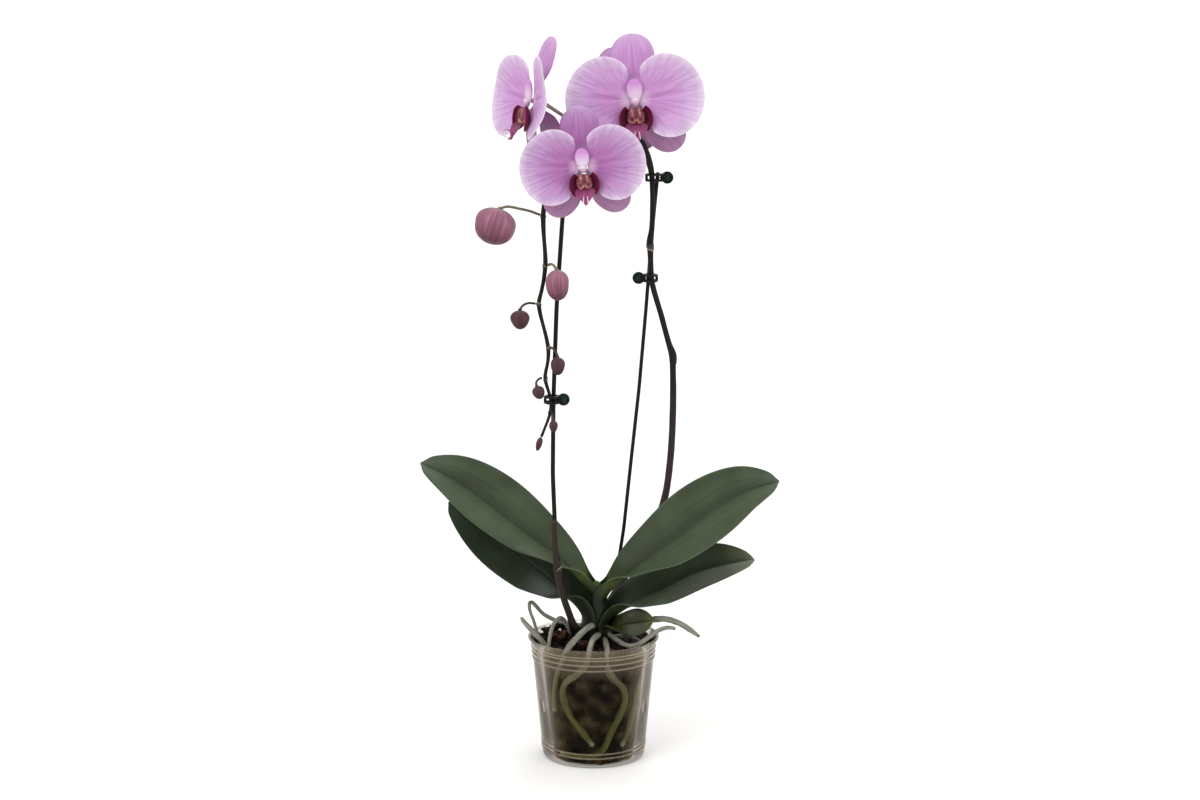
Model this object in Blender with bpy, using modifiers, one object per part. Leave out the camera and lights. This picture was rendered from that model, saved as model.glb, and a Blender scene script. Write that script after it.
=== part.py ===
"""A moth orchid (Phalaenopsis) in a clear nursery pot, at its real size.

One object per physical piece, in metres, +Z up. The origin is the centre of the pot's underside,
+X is to the right of the plant and -Y is the side that most of the flowers face.
Points and radii in the tables are in millimetres.
"""

import math

import bmesh
import bpy
from mathutils import Euler, Matrix, Vector

MM = 0.001
GAP = 0.3                   # clearance between pieces that touch

# Pot: a standard 12 cm clear orchid pot
POT_HEIGHT = 113.0
RIM_RADIUS = 60.5
WALL = 1.1
FLOOR = 1.4
BASE_RADIUS = 47.1          # wall radius carried down to the table
TAPER = 0.096               # wall radius gained per unit of height
CORNER = 3.6                # rounding where wall meets floor
RIM_BAND = 7.0              # height of the flared band under the lip
RING_HEIGHTS = (103.5, 98.7, 93.7)
RING_STEP = 0.55            # how far a ring stands proud of the wall
RING_DEPTH = 0.8            # its height from the step down to the wall
LIP_DEPTH = 1.6
LIP_UNDERCUT = 1.5
POT_SIDES = 36
DRAIN_COUNT = 8
DRAIN_RADIUS = 3.6
DRAIN_CIRCLE = 31.0
SLIT_COUNT = 8
SLIT_WIDTH = 1.5
SLIT_LENGTH = 11.0
SLIT_HEIGHT = 50.0
CUTTER_REACH = 8 * WALL     # long enough to pass right through the wall

# Bark filling
BARK_SIDE_CLEARANCE = 0.9
BARK_LEVEL = 105.0
MOUND_HEIGHT = 9.0
MOUND_AT = (-24.0, 14.0)
MOUND_SPREAD = 17.0
CHIP_SWELL = 1.1            # rise and fall of the top over the lie of the chips
CLEARANCE = 1.2 * GAP       # left in the bark round a stem or root

# Flowers, at full size: a petal spans FULL_SPAN and the rest goes with it
FULL_SPAN = 62.0
SEPAL_THICKNESS = 0.9
PETAL_THICKNESS = 0.8
NECK_RADIUS = 3.2           # where sepals, petals and lip meet the column
PETAL_CLEARANCE = 3 * GAP   # from the neck to a petal's claw
PETAL_HEADING = 9.0         # degrees above level along which a petal points
PETAL_FAN = 78.0            # degrees from there to either edge of the fan
PETAL_RIM = 40.5            # radius of the rim's circle
PETAL_RIM_CENTRE = (20.0, 2.0)
PETAL_SHOULDER = 0.24       # how much the rim draws in at the fan's edges
CLAW_SPREAD = 2.4
UPPER_CURL = 4.0            # how far a petal's upper and lower margins come forward
LOWER_CURL = 12.0
CURL_HEIGHT = 40.0
SEPAL_LAYER = 2.5           # the sepals stand this far behind the petals
SEPAL_LEAN = 0.2            # how steeply a sepal leans back
SEPAL_CLAW = 2.3            # half width of a sepal where it starts
SEPAL_WIDEST = 0.56         # share of its length where a sepal is widest
SEPAL_BLUNTNESS = 2.5
SEPALS = (("dorsal", 90, 58, 20.5), ("left", -129, 58, 18), ("right", -49, 59, 18))
LIP_THICKNESS = 1.2
LIP_FOOT = (0, 0.4, -4.0)
LIP_KEEL = (
    (*LIP_FOOT, 2.0), (0, -5, -8.4, 7), (0, -10, -15, 13), (0, -15, -23, 12), (0, -18.6, -30.6, 5.5),
    (0, -22.6, -35.6, 1.8), (0, -29.4, -34.2, 1.0),
)
LIP_LIFT = 13.0             # how far the lip's sides rise beside the column
LIP_SIDES = 0.7             # share of the lip's length that has raised sides
STALK_RADIUS = 1.7
COLUMN = (
    (0, -2.5, 4.6, 4.0), (0, -5.4, 8.4, 4.3), (0, -6.8, 12, 4.2), (0, -6.7, 16, 3.6), (0, -5.8, 19.6, 2.3),
)
FLOWERS = (
    # name, centre, turn, nod, roll, petal span, cup, where its stalk leaves the spike
    ("flower_rear", (27, 48, 596), 152, 3, 8, 54, 12, (43.7, 14, 562)),
    ("flower_top_right", (36.6, -25, 601.2), 0, 2, -3.3, 59.5, 12, (18, 4, 580)),
    ("flower_left", (-53, -15, 600.4), -65, -3, 3, 59, 13, (-7.3, -8, 576)),
    ("flower_centre", (-8.6, -68, 544.3), 0, 3, -5.3, 52.8, 12, (-33, -28, 544)),
)

# Buds, largest first: name, stalk's points to the bud's base, heading, length, radius
BUDS = (
    ("bud_1", ((-43.8, -42, 502), (-54, -44, 505), (-65, -46, 507.6), (-75, -49, 509.6),
               (-81, -51, 507.8)), (-0.3, -0.05, -1), 32, 17.5),
    ("bud_2", ((-41.8, -42, 458), (-37.6, -44.6, 459.4), (-33.6, -48.6, 457.4), (-32, -50, 454.4)),
     (0.06, -0.03, -1), 27, 10),
    ("bud_3", ((-48.2, -42, 424), (-55, -43, 424.8), (-61.6, -44, 423), (-64.6, -45, 418.4)),
     (0.03, 0, -1), 17, 8.4),
    ("bud_4", ((-39.6, -42, 385), (-35, -44.4, 384), (-32, -46, 380.4), (-31.4, -46.4, 377)),
     (0.03, 0, -1), 16, 6.2),
    ("bud_5", ((-43, -41.4, 358), (-47.4, -42, 357.6), (-50.8, -42, 354), (-50, -42, 350.6)),
     (0.3, 0, -1), 12, 5.4),
    ("bud_6", ((-38, -40.6, 327), (-36.4, -43.4, 325), (-35.4, -44.2, 320)), (0.03, 0, -1), 10.5, 3.8),
)
BUD_PROFILE = (
    # share of the length, share of the radius
    (0.04, 0.38), (0.11, 0.64), (0.25, 0.89), (0.44, 1.0), (0.64, 0.95), (0.82, 0.76), (0.94, 0.46),
    (1.0, 0.1),
)
TIP_BUD_STALK = 4.6
TIP_BUD_LENGTH = 8.0
TIP_BUD_RADIUS = 2.7

# Leaves: name, midrib's points, half width, lean and fold in degrees, rows of faces, fullness at the tip
LEAF_THICKNESS = 2.2
LEAF_CLASP = 32.0           # degrees that a leaf's base folds up more than its blade
LEAVES = (
    ("leaf_upper_left", ((-3.4, -4, 161.4), (-32, 0, 186), (-64, 5, 210), (-96, 10, 234),
                         (-128, 15, 256), (-159, 19, 270)), 29.5, 50, 12, 9, 1.25),
    ("leaf_upper_right", ((10.8, -4, 156.6), (38, -7, 178), (70, -9, 202), (103, -9, 227),
                          (136, -6, 248), (169, -2, 257)), 31, 57, 12, 9, 1.25),
    ("leaf_lower_left", ((-9.4, -1, 138.6), (-31, 8, 155), (-58, 16, 175), (-86, 22, 196),
                         (-112, 26, 216), (-134, 28, 232)), 29, 52, 10, 9, 1.25),
    ("leaf_lower_right", ((12.6, -1, 134), (38, 0, 143.4), (66, 2, 156.8), (94, 4, 170),
                          (122, 5, 178), (148, 5, 182)), 29, 30, 10, 9, 1.25),
    ("leaf_basal_right", ((10.0, -8.4, 123), (21, -15.4, 126), (32, -19.6, 128.6), (43, -22.4, 130.6),
                          (54.5, -24, 132.6)), 12.2, 64, 8, 7, 1.6),
)

# Clips: name, height, stem's and stake's centres there, room round them, side of the ring
CLIP_WIRE = 1.1
CLIP_SPREAD = 2.6           # each band stands this far above or below the middle
CLIP_RING = 4.4
CLIP_RING_WIRE = 1.3
CLIP_RING_SET = 3.2
CLIPS = (
    ("clip_top", 532, (53, 20), (57.9, 22), 4.9, 1),
    ("clip_middle", 441, (52.7, 20), (50.1, 25.2), 4.9, -1),
    ("clip_left", 338, (-37.6, -39.6), (-35.4, -35.2), 4.3, 1),
)

SPIKE = (
    (6.2, 7.6, 126, 3.0), (14, 19, 138, 3.0), (26, 25, 156, 2.9), (43, 31, 184, 2.9),
    (64, 33, 226, 2.9), (70, 32.5, 258, 2.8), (73, 30.5, 300, 2.7), (73.5, 28.5, 340, 2.7),
    (73, 27.5, 362, 2.7), (73.3, 27, 369, 3.6), (69.6, 26, 379, 2.6), (62, 23.6, 407, 2.6),
    (55, 20.5, 430, 2.6), (52.6, 20, 442, 2.6), (51.8, 20, 466, 2.7), (51.2, 20, 474, 3.5),
    (52.6, 20, 482, 2.6), (53.6, 20, 498, 2.5), (53, 20, 532, 2.5), (51.4, 18.6, 542, 2.9),
    (43.7, 14, 562, 3.4), (28.3, 8, 577, 2.8), (8.7, 0, 582, 2.3), (-7.3, -8, 576, 2.4),
    (-22.2, -18, 562, 2.1), (-35.2, -30, 540.5, 2.3), (-41.3, -38, 519, 1.9), (-43.8, -42, 502, 2.3),
    (-43, -42, 480, 1.8), (-41.8, -42, 458, 2.1), (-45.6, -42, 434, 1.7), (-48.2, -42, 424, 2.0),
    (-44.2, -42, 405, 1.6), (-39.6, -42, 385, 1.9), (-40.2, -42, 371, 1.5), (-43, -41.4, 358, 1.8),
    (-39.6, -40.2, 346, 1.4), (-37.6, -39.6, 337, 1.4), (-38, -40.6, 327, 1.5), (-42.6, -42, 314, 1.2),
    (-46.2, -42, 305, 1.4),
)
STUB = (
    (-3.4, -8.8, 117, 3.1), (-12, -19, 120, 3.1), (-18, -28, 130, 3.1), (-23, -35, 145, 3.1),
    (-28, -41, 162, 3.0), (-31.6, -43, 180, 3.1), (-32.6, -43, 186, 3.8), (-33.4, -43, 191, 2.7),
    (-34.3, -43, 208, 2.7), (-35, -43, 231, 2.6),
)
STAKE_LEFT = (
    (-9, -13, 6, 2.0), (-14, -17, 70, 2.0), (-19, -20.4, 120, 2.0), (-27.6, -31.4, 164, 2.0),
    (-33.8, -36.4, 206, 2.0), (-36.2, -36.6, 270, 2.0), (-35.4, -35.2, 338, 2.0),
    (-32.4, -34, 420, 2.0), (-27.6, -33, 490, 2.0), (-24.5, -32.4, 530, 2.0),
)
STAKE_RIGHT = (
    (9, 27, 6, 1.7), (14, 30, 90, 1.7), (18, 31, 140, 1.7), (28, 28.6, 206, 1.7),
    (34.6, 27.2, 270, 1.7), (42, 26, 340, 1.7), (48, 25.3, 412, 1.7), (50.2, 25.2, 442, 1.7),
    (52.6, 26.4, 474, 1.7), (55.2, 25, 502, 1.7), (57.9, 22, 532, 1.7), (58.2, 21.6, 537, 1.7),
)
CROWN = (
    (3, -1, 90, 5.0), (3, -1.5, 98, 7.6), (3, -2, 112, 8.6), (3, -2.5, 130, 8.6),
    (3, -3, 146, 8.2), (3, -3.5, 156, 6.8), (3, -4, 163, 4.4),
)

PINK = (0.55, 0.25, 0.56)


def between(start, end, start_knot, end_knot, knot):
    """The point on a straight line that passes start and end at their knots."""
    return start.lerp(end, (knot - start_knot) / (end_knot - start_knot))


def smooth_path(stations, steps):
    """Points of a centripetal Catmull-Rom curve through the stations, fourth value carried along."""
    known = [Vector(station) for station in stations]
    known = [2 * known[0] - known[1]] + known + [2 * known[-1] - known[-2]]
    samples = []
    for index in range(1, len(known) - 2):
        a, b, c, d = known[index - 1:index + 3]
        knot_b = math.sqrt((b.xyz - a.xyz).length)
        knot_c = knot_b + math.sqrt((c.xyz - b.xyz).length)
        knot_d = knot_c + math.sqrt((d.xyz - c.xyz).length)
        for step in range(steps):
            knot = knot_b + (knot_c - knot_b) * step / steps
            ab = between(a, b, 0, knot_b, knot)
            bc = between(b, c, knot_b, knot_c, knot)
            cd = between(c, d, knot_c, knot_d, knot)
            abc = between(ab, bc, 0, knot_c, knot)
            bcd = between(bc, cd, knot_b, knot_d, knot)
            samples.append(between(abc, bcd, knot_b, knot_c, knot))
    samples.append(known[-2])
    return samples


def finish(name, colour, roughness, metallic=0.0, alpha=1.0):
    """A Principled material of one colour."""
    material = bpy.data.materials.new(name)
    material.use_nodes = True
    shader = material.node_tree.nodes["Principled BSDF"]
    shader.inputs["Base Color"].default_value = (*colour, 1.0)
    shader.inputs["Roughness"].default_value = roughness
    shader.inputs["Metallic"].default_value = metallic
    shader.inputs["Alpha"].default_value = alpha
    return material


def place(name, data, material, parent=None):
    """Put mesh or curve data in the plant's collection as one named object."""
    piece = bpy.data.objects.new(name, data)
    bpy.data.collections["potted_orchid"].objects.link(piece)
    data.materials.append(material)
    piece.parent = parent
    return piece


def tube(name, stations, steps, material, ring=2, cyclic=False, parent=None):
    """A round stem through (x, y, z, radius) stations."""
    samples = smooth_path(stations, steps) if steps > 1 else [Vector(station) for station in stations]
    curve = bpy.data.curves.new(name, "CURVE")
    curve.dimensions = "3D"
    curve.bevel_depth = MM
    curve.bevel_resolution = ring
    curve.use_fill_caps = True
    spline = curve.splines.new("POLY")
    spline.points.add(len(samples) - 1)
    spline.use_cyclic_u = cyclic
    for point, sample in zip(spline.points, samples):
        point.co = (*(sample.xyz * MM), 1.0)
        point.radius = sample.w
    return place(name, curve, material, parent)


def as_mesh(piece):
    """Replace an object by a mesh copy of its evaluated shape, with loose caps welded on."""
    evaluated = piece.evaluated_get(bpy.context.evaluated_depsgraph_get())
    mesh = bpy.data.meshes.new_from_object(evaluated)
    weld = bmesh.new()
    weld.from_mesh(mesh)
    bmesh.ops.remove_doubles(weld, verts=weld.verts, dist=1e-6)
    weld.to_mesh(mesh)
    weld.free()
    name = piece.name
    piece.name = name + "_source"
    solid = bpy.data.objects.new(name, mesh)
    solid.matrix_world = piece.matrix_world
    for collection in piece.users_collection:
        collection.objects.link(solid)
    bpy.data.objects.remove(piece)
    return solid


def as_cutter(piece):
    """Turn an object into a wire helper in the cutters' collection."""
    if piece.type == "CURVE":
        piece = as_mesh(piece)
    for collection in list(piece.users_collection):
        collection.objects.unlink(piece)
    bpy.data.collections["cutters"].objects.link(piece)
    piece.hide_render = True
    piece.display_type = "WIRE"
    return piece


def combine(target, helper, operation):
    """Cut the target with the helper, or join the helper to it."""
    modifier = target.modifiers.new(helper.name, "BOOLEAN")
    modifier.operation = operation
    modifier.solver = "EXACT"
    modifier.object = as_cutter(helper)


def sheet(name, columns, rows, shape, thickness, material, parent=None):
    """A thin curved piece: a square grid laid on shape(across, along), then given its thickness."""
    grid = bmesh.new()
    bmesh.ops.create_grid(grid, x_segments=columns, y_segments=rows, size=1.0)
    for vertex in grid.verts:
        vertex.co = shape(vertex.co.x, 0.5 + 0.5 * vertex.co.y) * MM
    mesh = bpy.data.meshes.new(name)
    grid.to_mesh(mesh)
    grid.free()
    mesh.shade_smooth()
    piece = place(name, mesh, material, parent)
    solidify = piece.modifiers.new("thickness", "SOLIDIFY")
    solidify.thickness = thickness * MM
    solidify.offset = 0.0
    return piece


# ---------------------------------------------------------------- pot and bark

def wall_radius(height):
    """Outer radius of the pot's wall at a height."""
    return BASE_RADIUS + TAPER * height


def turned(name, profile, material):
    """A turned shape from (radius, height) points that run down its outer side."""
    mesh = bpy.data.meshes.new(name)
    points = [(radius * MM, 0.0, height * MM) for radius, height in profile]
    mesh.from_pydata(points, [(i, i + 1) for i in range(len(points) - 1)], [])
    piece = place(name, mesh, material)
    screw = piece.modifiers.new("turn", "SCREW")
    screw.steps = POT_SIDES
    screw.render_steps = POT_SIDES
    screw.use_merge_vertices = True
    screw.merge_threshold = 1e-5
    screw.use_smooth_shade = True
    return piece


def pot_inside():
    """Inner wall and floor, from the floor's centre up to the rim."""
    band_foot = POT_HEIGHT - RIM_BAND
    return [
        (0, FLOOR),
        (wall_radius(0) - CORNER - WALL, FLOOR),
        (wall_radius(CORNER) - WALL, FLOOR + CORNER),
        (wall_radius(band_foot) - WALL, band_foot),
        (RIM_RADIUS - LIP_DEPTH - WALL, POT_HEIGHT),
    ]


def pot_outside():
    """Lip, flared band, three stepped rings and the plain wall, down to the centre of the base."""
    band_foot = POT_HEIGHT - RIM_BAND
    profile = [
        (RIM_RADIUS, POT_HEIGHT),
        (RIM_RADIUS, POT_HEIGHT - LIP_DEPTH),
        (RIM_RADIUS - LIP_UNDERCUT, POT_HEIGHT - 1.5 * LIP_DEPTH),
        (wall_radius(band_foot) + RING_STEP, band_foot),
    ]
    for height in RING_HEIGHTS:
        profile.append((wall_radius(height) + RING_STEP, height))
        profile.append((wall_radius(height), height - RING_DEPTH))
    profile += [
        (wall_radius(CORNER), CORNER),
        (wall_radius(0) - 0.3 * CORNER, 0.3 * CORNER),
        (wall_radius(0) - CORNER, 0),
        (0, 0),
    ]
    return profile


def build_pot():
    """The clear pot with its drain holes and air slits."""
    clear = finish("clear_polypropylene", (0.62, 0.58, 0.52), 0.25, alpha=0.35)
    pot = turned("pot", pot_inside() + pot_outside(), clear)
    for index in range(DRAIN_COUNT):
        angle = 2 * math.pi * (index + 0.5) / DRAIN_COUNT
        hole = bpy.data.meshes.new(f"drain_{index}")
        cutter = bmesh.new()
        bmesh.ops.create_cone(cutter, cap_ends=True, segments=10, radius1=DRAIN_RADIUS * MM,
                              radius2=DRAIN_RADIUS * MM, depth=4 * FLOOR * MM)
        cutter.to_mesh(hole)
        cutter.free()
        drain = place(f"drain_{index}", hole, clear)
        drain.location = Vector((math.cos(angle), math.sin(angle), 0)) * DRAIN_CIRCLE * MM
        combine(pot, drain, "DIFFERENCE")
    for index in range(SLIT_COUNT):
        angle = 2 * math.pi * (index + 0.5) / SLIT_COUNT
        box = bpy.data.meshes.new(f"slit_{index}")
        cutter = bmesh.new()
        bmesh.ops.create_cube(cutter, size=MM)
        bmesh.ops.scale(cutter, vec=(CUTTER_REACH, SLIT_WIDTH, SLIT_LENGTH), verts=cutter.verts)
        cutter.to_mesh(box)
        cutter.free()
        slit = place(f"slit_{index}", box, clear)
        radius = wall_radius(SLIT_HEIGHT) - 0.5 * WALL
        slit.location = Vector((math.cos(angle) * radius, math.sin(angle) * radius, SLIT_HEIGHT)) * MM
        slit.rotation_euler = (0, 0, angle)
        combine(pot, slit, "DIFFERENCE")
    return pot


def bark_rise(x, y):
    """Height of the bark's surface over its level: a mound behind, and the lie of the chips."""
    mound = MOUND_HEIGHT * math.exp(
        -((x - MOUND_AT[0]) ** 2 + (y - MOUND_AT[1]) ** 2) / (2 * MOUND_SPREAD ** 2)
    )
    return mound + CHIP_SWELL * math.sin(0.31 * x + 0.7) * math.cos(0.27 * y - 0.4)


def build_bark():
    """The bark chips as one filling, with an uneven top."""
    bark = finish("bark", (0.12, 0.06, 0.035), 0.9)
    side = BARK_SIDE_CLEARANCE + WALL
    bottom = FLOOR + GAP
    profile = [(radius, BARK_LEVEL) for radius in range(0, 50, 9)]
    profile += [
        (wall_radius(BARK_LEVEL) - side - 1.5, BARK_LEVEL),
        (wall_radius(BARK_LEVEL - 4) - side, BARK_LEVEL - 4),
        (wall_radius(CORNER) - side, bottom + CORNER),
        (wall_radius(0) - side - CORNER, bottom),
        (0, bottom),
    ]
    filling = as_mesh(turned("potting_bark", profile, bark))
    for vertex in filling.data.vertices:
        if vertex.co.z > (BARK_LEVEL - 0.1) * MM:
            vertex.co.z += bark_rise(vertex.co.x / MM, vertex.co.y / MM) * MM
    return filling


def bed(filling, stations, steps):
    """Leave room in the bark for a stem, with the clearance of touching pieces all round."""
    wider = smooth_path(stations, steps)
    for end, inner in ((0, 1), (-1, -2)):
        outward = (wider[end].xyz - wider[inner].xyz).normalized() * CLEARANCE
        wider[end] = Vector((*(wider[end].xyz + outward), wider[end].w))
    for sample in wider:
        sample.w += CLEARANCE
    room = tube(f"room_{len(filling.modifiers)}", wider, 1, filling.data.materials[0])
    combine(filling, room, "DIFFERENCE")


# ---------------------------------------------------------------- green parts

def leaf(name, midrib, half_width, lean, fold, rows, fullness, material):
    """A strap leaf: its blade is leant so that the back edge stands higher than the front one."""
    line = smooth_path([(*point, 0.0) for point in midrib], 12)

    def shape(across, along):
        along = 0.5 - 0.5 * math.cos(math.pi * along)
        place_on = along * (len(line) - 1)
        index = min(int(place_on), len(line) - 2)
        centre = line[index].lerp(line[index + 1], place_on - index).xyz
        forward = (line[index + 1] - line[index]).xyz.normalized()
        level = Vector((-forward.y, forward.x, 0)).normalized()
        if level.y < 0:
            level = -level
        upward = forward.cross(level)
        if upward.z < 0:
            upward = -upward
        tilt = math.radians(lean * min(1.0, 0.3 + 2.4 * along))
        blade = math.cos(tilt) * level + math.sin(tilt) * upward
        face = -math.sin(tilt) * level + math.cos(tilt) * upward
        reach = 0.03 + 0.955 * along
        width = half_width * (math.sin(math.pi * reach ** fullness) ** 0.7 + 0.13 * (1 - along) ** 2)
        clasp = LEAF_CLASP * (1 - along) ** 4
        trough = math.tan(math.radians(fold + clasp)) * width * abs(across) ** 1.3
        return centre + blade * width * across + face * trough

    return sheet(name, 4, rows, shape, LEAF_THICKNESS, material)


def build_leaves():
    """Two ranks of leaves, older ones lower, and one short basal leaf."""
    green = finish("leaf_green", (0.09, 0.13, 0.06), 0.4)
    for description in LEAVES:
        leaf(*description, green)


def nearest(samples, point):
    """Centre, direction and radius of a stem at its sample nearest to a point."""
    target = Vector(point)
    index = min(range(len(samples)), key=lambda i: (samples[i].xyz - target).length)
    low, high = samples[max(index - 1, 0)].xyz, samples[min(index + 1, len(samples) - 1)].xyz
    return samples[index].xyz, (high - low).normalized(), samples[index].w


def spring_from(samples, point, towards, radius):
    """First two stations of a side shoot: it leaves the stem squarely, on the side it heads for."""
    centre, along, stem_radius = nearest(samples, point)
    outward = Vector(towards) - centre
    outward = (outward - outward.dot(along) * along).normalized()
    foot = centre + outward * (stem_radius + GAP)
    return [(*foot, radius), (*(foot + outward * radius), radius)]


def build_stems():
    """The crown, the flower spike, the cut-back spike and the two stakes."""
    sheath = finish("crown_green", (0.16, 0.19, 0.07), 0.5)
    stem = finish("spike_brown", (0.035, 0.025, 0.022), 0.5)
    stake = finish("stake_black", (0.008, 0.008, 0.008), 0.4)
    tube("crown_stem", CROWN, 2, sheath)
    tube("flower_spike", SPIKE, 2, stem)
    tube("spike_stub", STUB, 2, stem)
    tube("stake_left", STAKE_LEFT, 1, stake)
    tube("stake_right", STAKE_RIGHT, 1, stake)


# ---------------------------------------------------------------- flowers

class Flower:
    """One open flower, modelled about its centre: x to its left as it looks, y behind it, z up."""

    def __init__(self, name, centre, turn, nod, roll, length, cup, node):
        self.name = name
        self.scale = length / FULL_SPAN
        self.cup = math.radians(cup)
        self.node = node
        self.anchor = bpy.data.objects.new(name, None)
        bpy.data.collections["potted_orchid"].objects.link(self.anchor)
        self.anchor.empty_display_size = 10 * MM
        turned_to = Euler((0, 0, math.radians(turn))).to_matrix()
        nodding = Euler((math.radians(nod), 0, 0)).to_matrix()
        rolled = Euler((0, math.radians(roll), 0)).to_matrix()
        rotation = (turned_to @ nodding @ rolled).to_4x4()
        self.matrix = Matrix.Translation(Vector(centre) * MM) @ rotation
        self.anchor.matrix_world = self.matrix

    def petal(self, side, material):
        """One broad side petal: a fan from a narrow claw to a round rim, side is -1 or 1."""
        scale = self.scale
        claw = NECK_RADIUS + PETAL_CLEARANCE
        out, up = PETAL_RIM_CENTRE

        def shape(across, along):
            angle = math.radians(PETAL_HEADING + PETAL_FAN * across)
            reach = out * math.cos(angle) + up * math.sin(angle)
            inside = PETAL_RIM ** 2 - (out * math.sin(angle) - up * math.cos(angle)) ** 2
            rim = (reach + math.sqrt(inside)) * (1 - PETAL_SHOULDER * abs(across) ** 5)
            radial = along * rim * scale
            x = claw + radial * math.cos(angle)
            z = radial * math.sin(angle) + (1 - along) ** 2 * CLAW_SPREAD * across
            curl = (LOWER_CURL if z < 0 else UPPER_CURL) * scale * (z / CURL_HEIGHT / scale) ** 2
            forward = math.sin(self.cup) * x + curl
            return Vector((side * x * math.cos(self.cup), -forward, z))

        label = "left" if side < 0 else "right"
        return sheet(f"{self.name}_petal_{label}", 7, 5, shape, PETAL_THICKNESS, material, self.anchor)

    def sepal(self, label, direction, length, half_width, material):
        """One sepal, pointing at an angle from the flower's +x and leaning back."""
        scale = self.scale
        heading = math.radians(direction)
        outward = Vector((math.cos(heading), 0, math.sin(heading)))
        sideways = Vector((-math.sin(heading), 0, math.cos(heading)))
        start = NECK_RADIUS + (5 * GAP if direction > 0 else 2 * GAP)

        def shape(across, share):
            along = math.sin(0.5 * math.pi * share)
            radial = along * (length * scale - start)
            if along < SEPAL_WIDEST:
                swell = math.sin(0.5 * math.pi * along / SEPAL_WIDEST) ** 2
                width = SEPAL_CLAW + (half_width * scale - SEPAL_CLAW) * swell
            else:
                past = (along - SEPAL_WIDEST) / (1 - SEPAL_WIDEST)
                width = half_width * scale * math.sqrt(1.04 - past ** SEPAL_BLUNTNESS)
            back = SEPAL_LAYER + SEPAL_LEAN * radial + 1.5 * (across * along) ** 2
            crown = 2.4 * along * (1 - across ** 2)
            return (start + radial + crown) * outward + width * across * sideways + Vector((0, back, 0))

        return sheet(f"{self.name}_sepal_{label}", 4, 6, shape, SEPAL_THICKNESS, material, self.anchor)

    def lip(self, material):
        """The lip: a scoop whose sides rise beside the column, narrowing to a pointed mid-lobe."""
        foot = Vector(LIP_FOOT)
        keel = smooth_path(LIP_KEEL, 4)

        def shape(across, along):
            place_on = along * (len(keel) - 1)
            index = min(int(place_on), len(keel) - 2)
            centre = keel[index].lerp(keel[index + 1], place_on - index)
            lift = LIP_LIFT * math.sin(math.pi * min(along / LIP_SIDES, 1.0)) ** 1.5
            rise = Vector((0, -0.82, 0.57)) * lift * across ** 2
            spread = Vector((centre.w * across, 0, 0))
            return foot + (centre.xyz - foot + rise + spread) * self.scale

        return sheet(f"{self.name}_lip", 6, 8, shape, LIP_THICKNESS, material, self.anchor)

    def column(self, spike, material):
        """The flower stalk from the spike, the neck that carries the flower, and the column."""
        inverse = self.matrix.inverted()
        start = spring_from(spike, self.node, self.matrix.translation / MM, STALK_RADIUS)
        foot, leaving = [inverse @ (Vector(station[:3]) * MM) / MM for station in start]
        behind = Vector((0, 14, -3))
        middle = leaving.lerp(behind, 0.5) + Vector((0, 3, -3))
        stations = [
            (*foot, STALK_RADIUS), (*leaving, STALK_RADIUS), (*middle, 1.6), (*behind, 1.9),
            (0, 6, -0.6, 2.6), (0, 1.5, 0, NECK_RADIUS),
        ]
        stations += [tuple(self.scale * value for value in station) for station in COLUMN]
        return tube(f"{self.name}_column", stations, 2, material, parent=self.anchor)


def build_flowers():
    """Four open flowers, counted along the spike from its base."""
    spike = smooth_path(SPIKE, 2)
    petal = finish("petal_pink", PINK, 0.55)
    sepal = finish("sepal_pink", (0.5, 0.22, 0.5), 0.55)
    throat = finish("lip_magenta", (0.3, 0.02, 0.08), 0.45)
    white = finish("column_white", (0.8, 0.62, 0.75), 0.45)
    for description in FLOWERS:
        flower = Flower(*description)
        flower.petal(-1, petal)
        flower.petal(1, petal)
        for outline in SEPALS:
            flower.sepal(*outline, sepal)
        flower.lip(throat)
        flower.column(spike, white)


def bud_body(base, axis, length, radius):
    """Stations of a closed bud from its base to its pointed tip."""
    return [(*(base + axis * length * reach), radius * width) for reach, width in BUD_PROFILE]


def bud(name, stalk, heading, length, radius, spike, material):
    """A closed bud on its own stalk: the stalk's points end at the bud's base."""
    thickness = 0.9 + 0.01 * length
    stations = spring_from(spike, stalk[0], stalk[1], thickness)
    stations += [(*point, thickness) for point in stalk[1:]]
    stations = [tuple(sample) for sample in smooth_path(stations, 2)]
    stations += bud_body(Vector(stalk[-1]), Vector(heading).normalized(), length, radius)
    tube(name, stations, 1, material, ring=3 if radius > 15 else 2)


def build_buds():
    """Seven buds down the hanging tail of the spike, largest first."""
    spike = smooth_path(SPIKE, 2)
    mauve = finish("bud_mauve", (0.28, 0.13, 0.16), 0.6)
    for description in BUDS:
        bud(*description, spike, mauve)
    tip = Vector(SPIKE[-1][:3])
    heading = (tip - Vector(SPIKE[-2][:3])).normalized()
    stalk = [(*(tip + heading * (GAP + TIP_BUD_STALK * share)), 0.9) for share in (0, 0.5, 1)]
    stalk += bud_body(Vector(stalk[-1][:3]), Vector((-0.25, 0, -1)), TIP_BUD_LENGTH, TIP_BUD_RADIUS)
    tube("bud_7", stalk, 1, mauve)


# ---------------------------------------------------------------- clips

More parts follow.
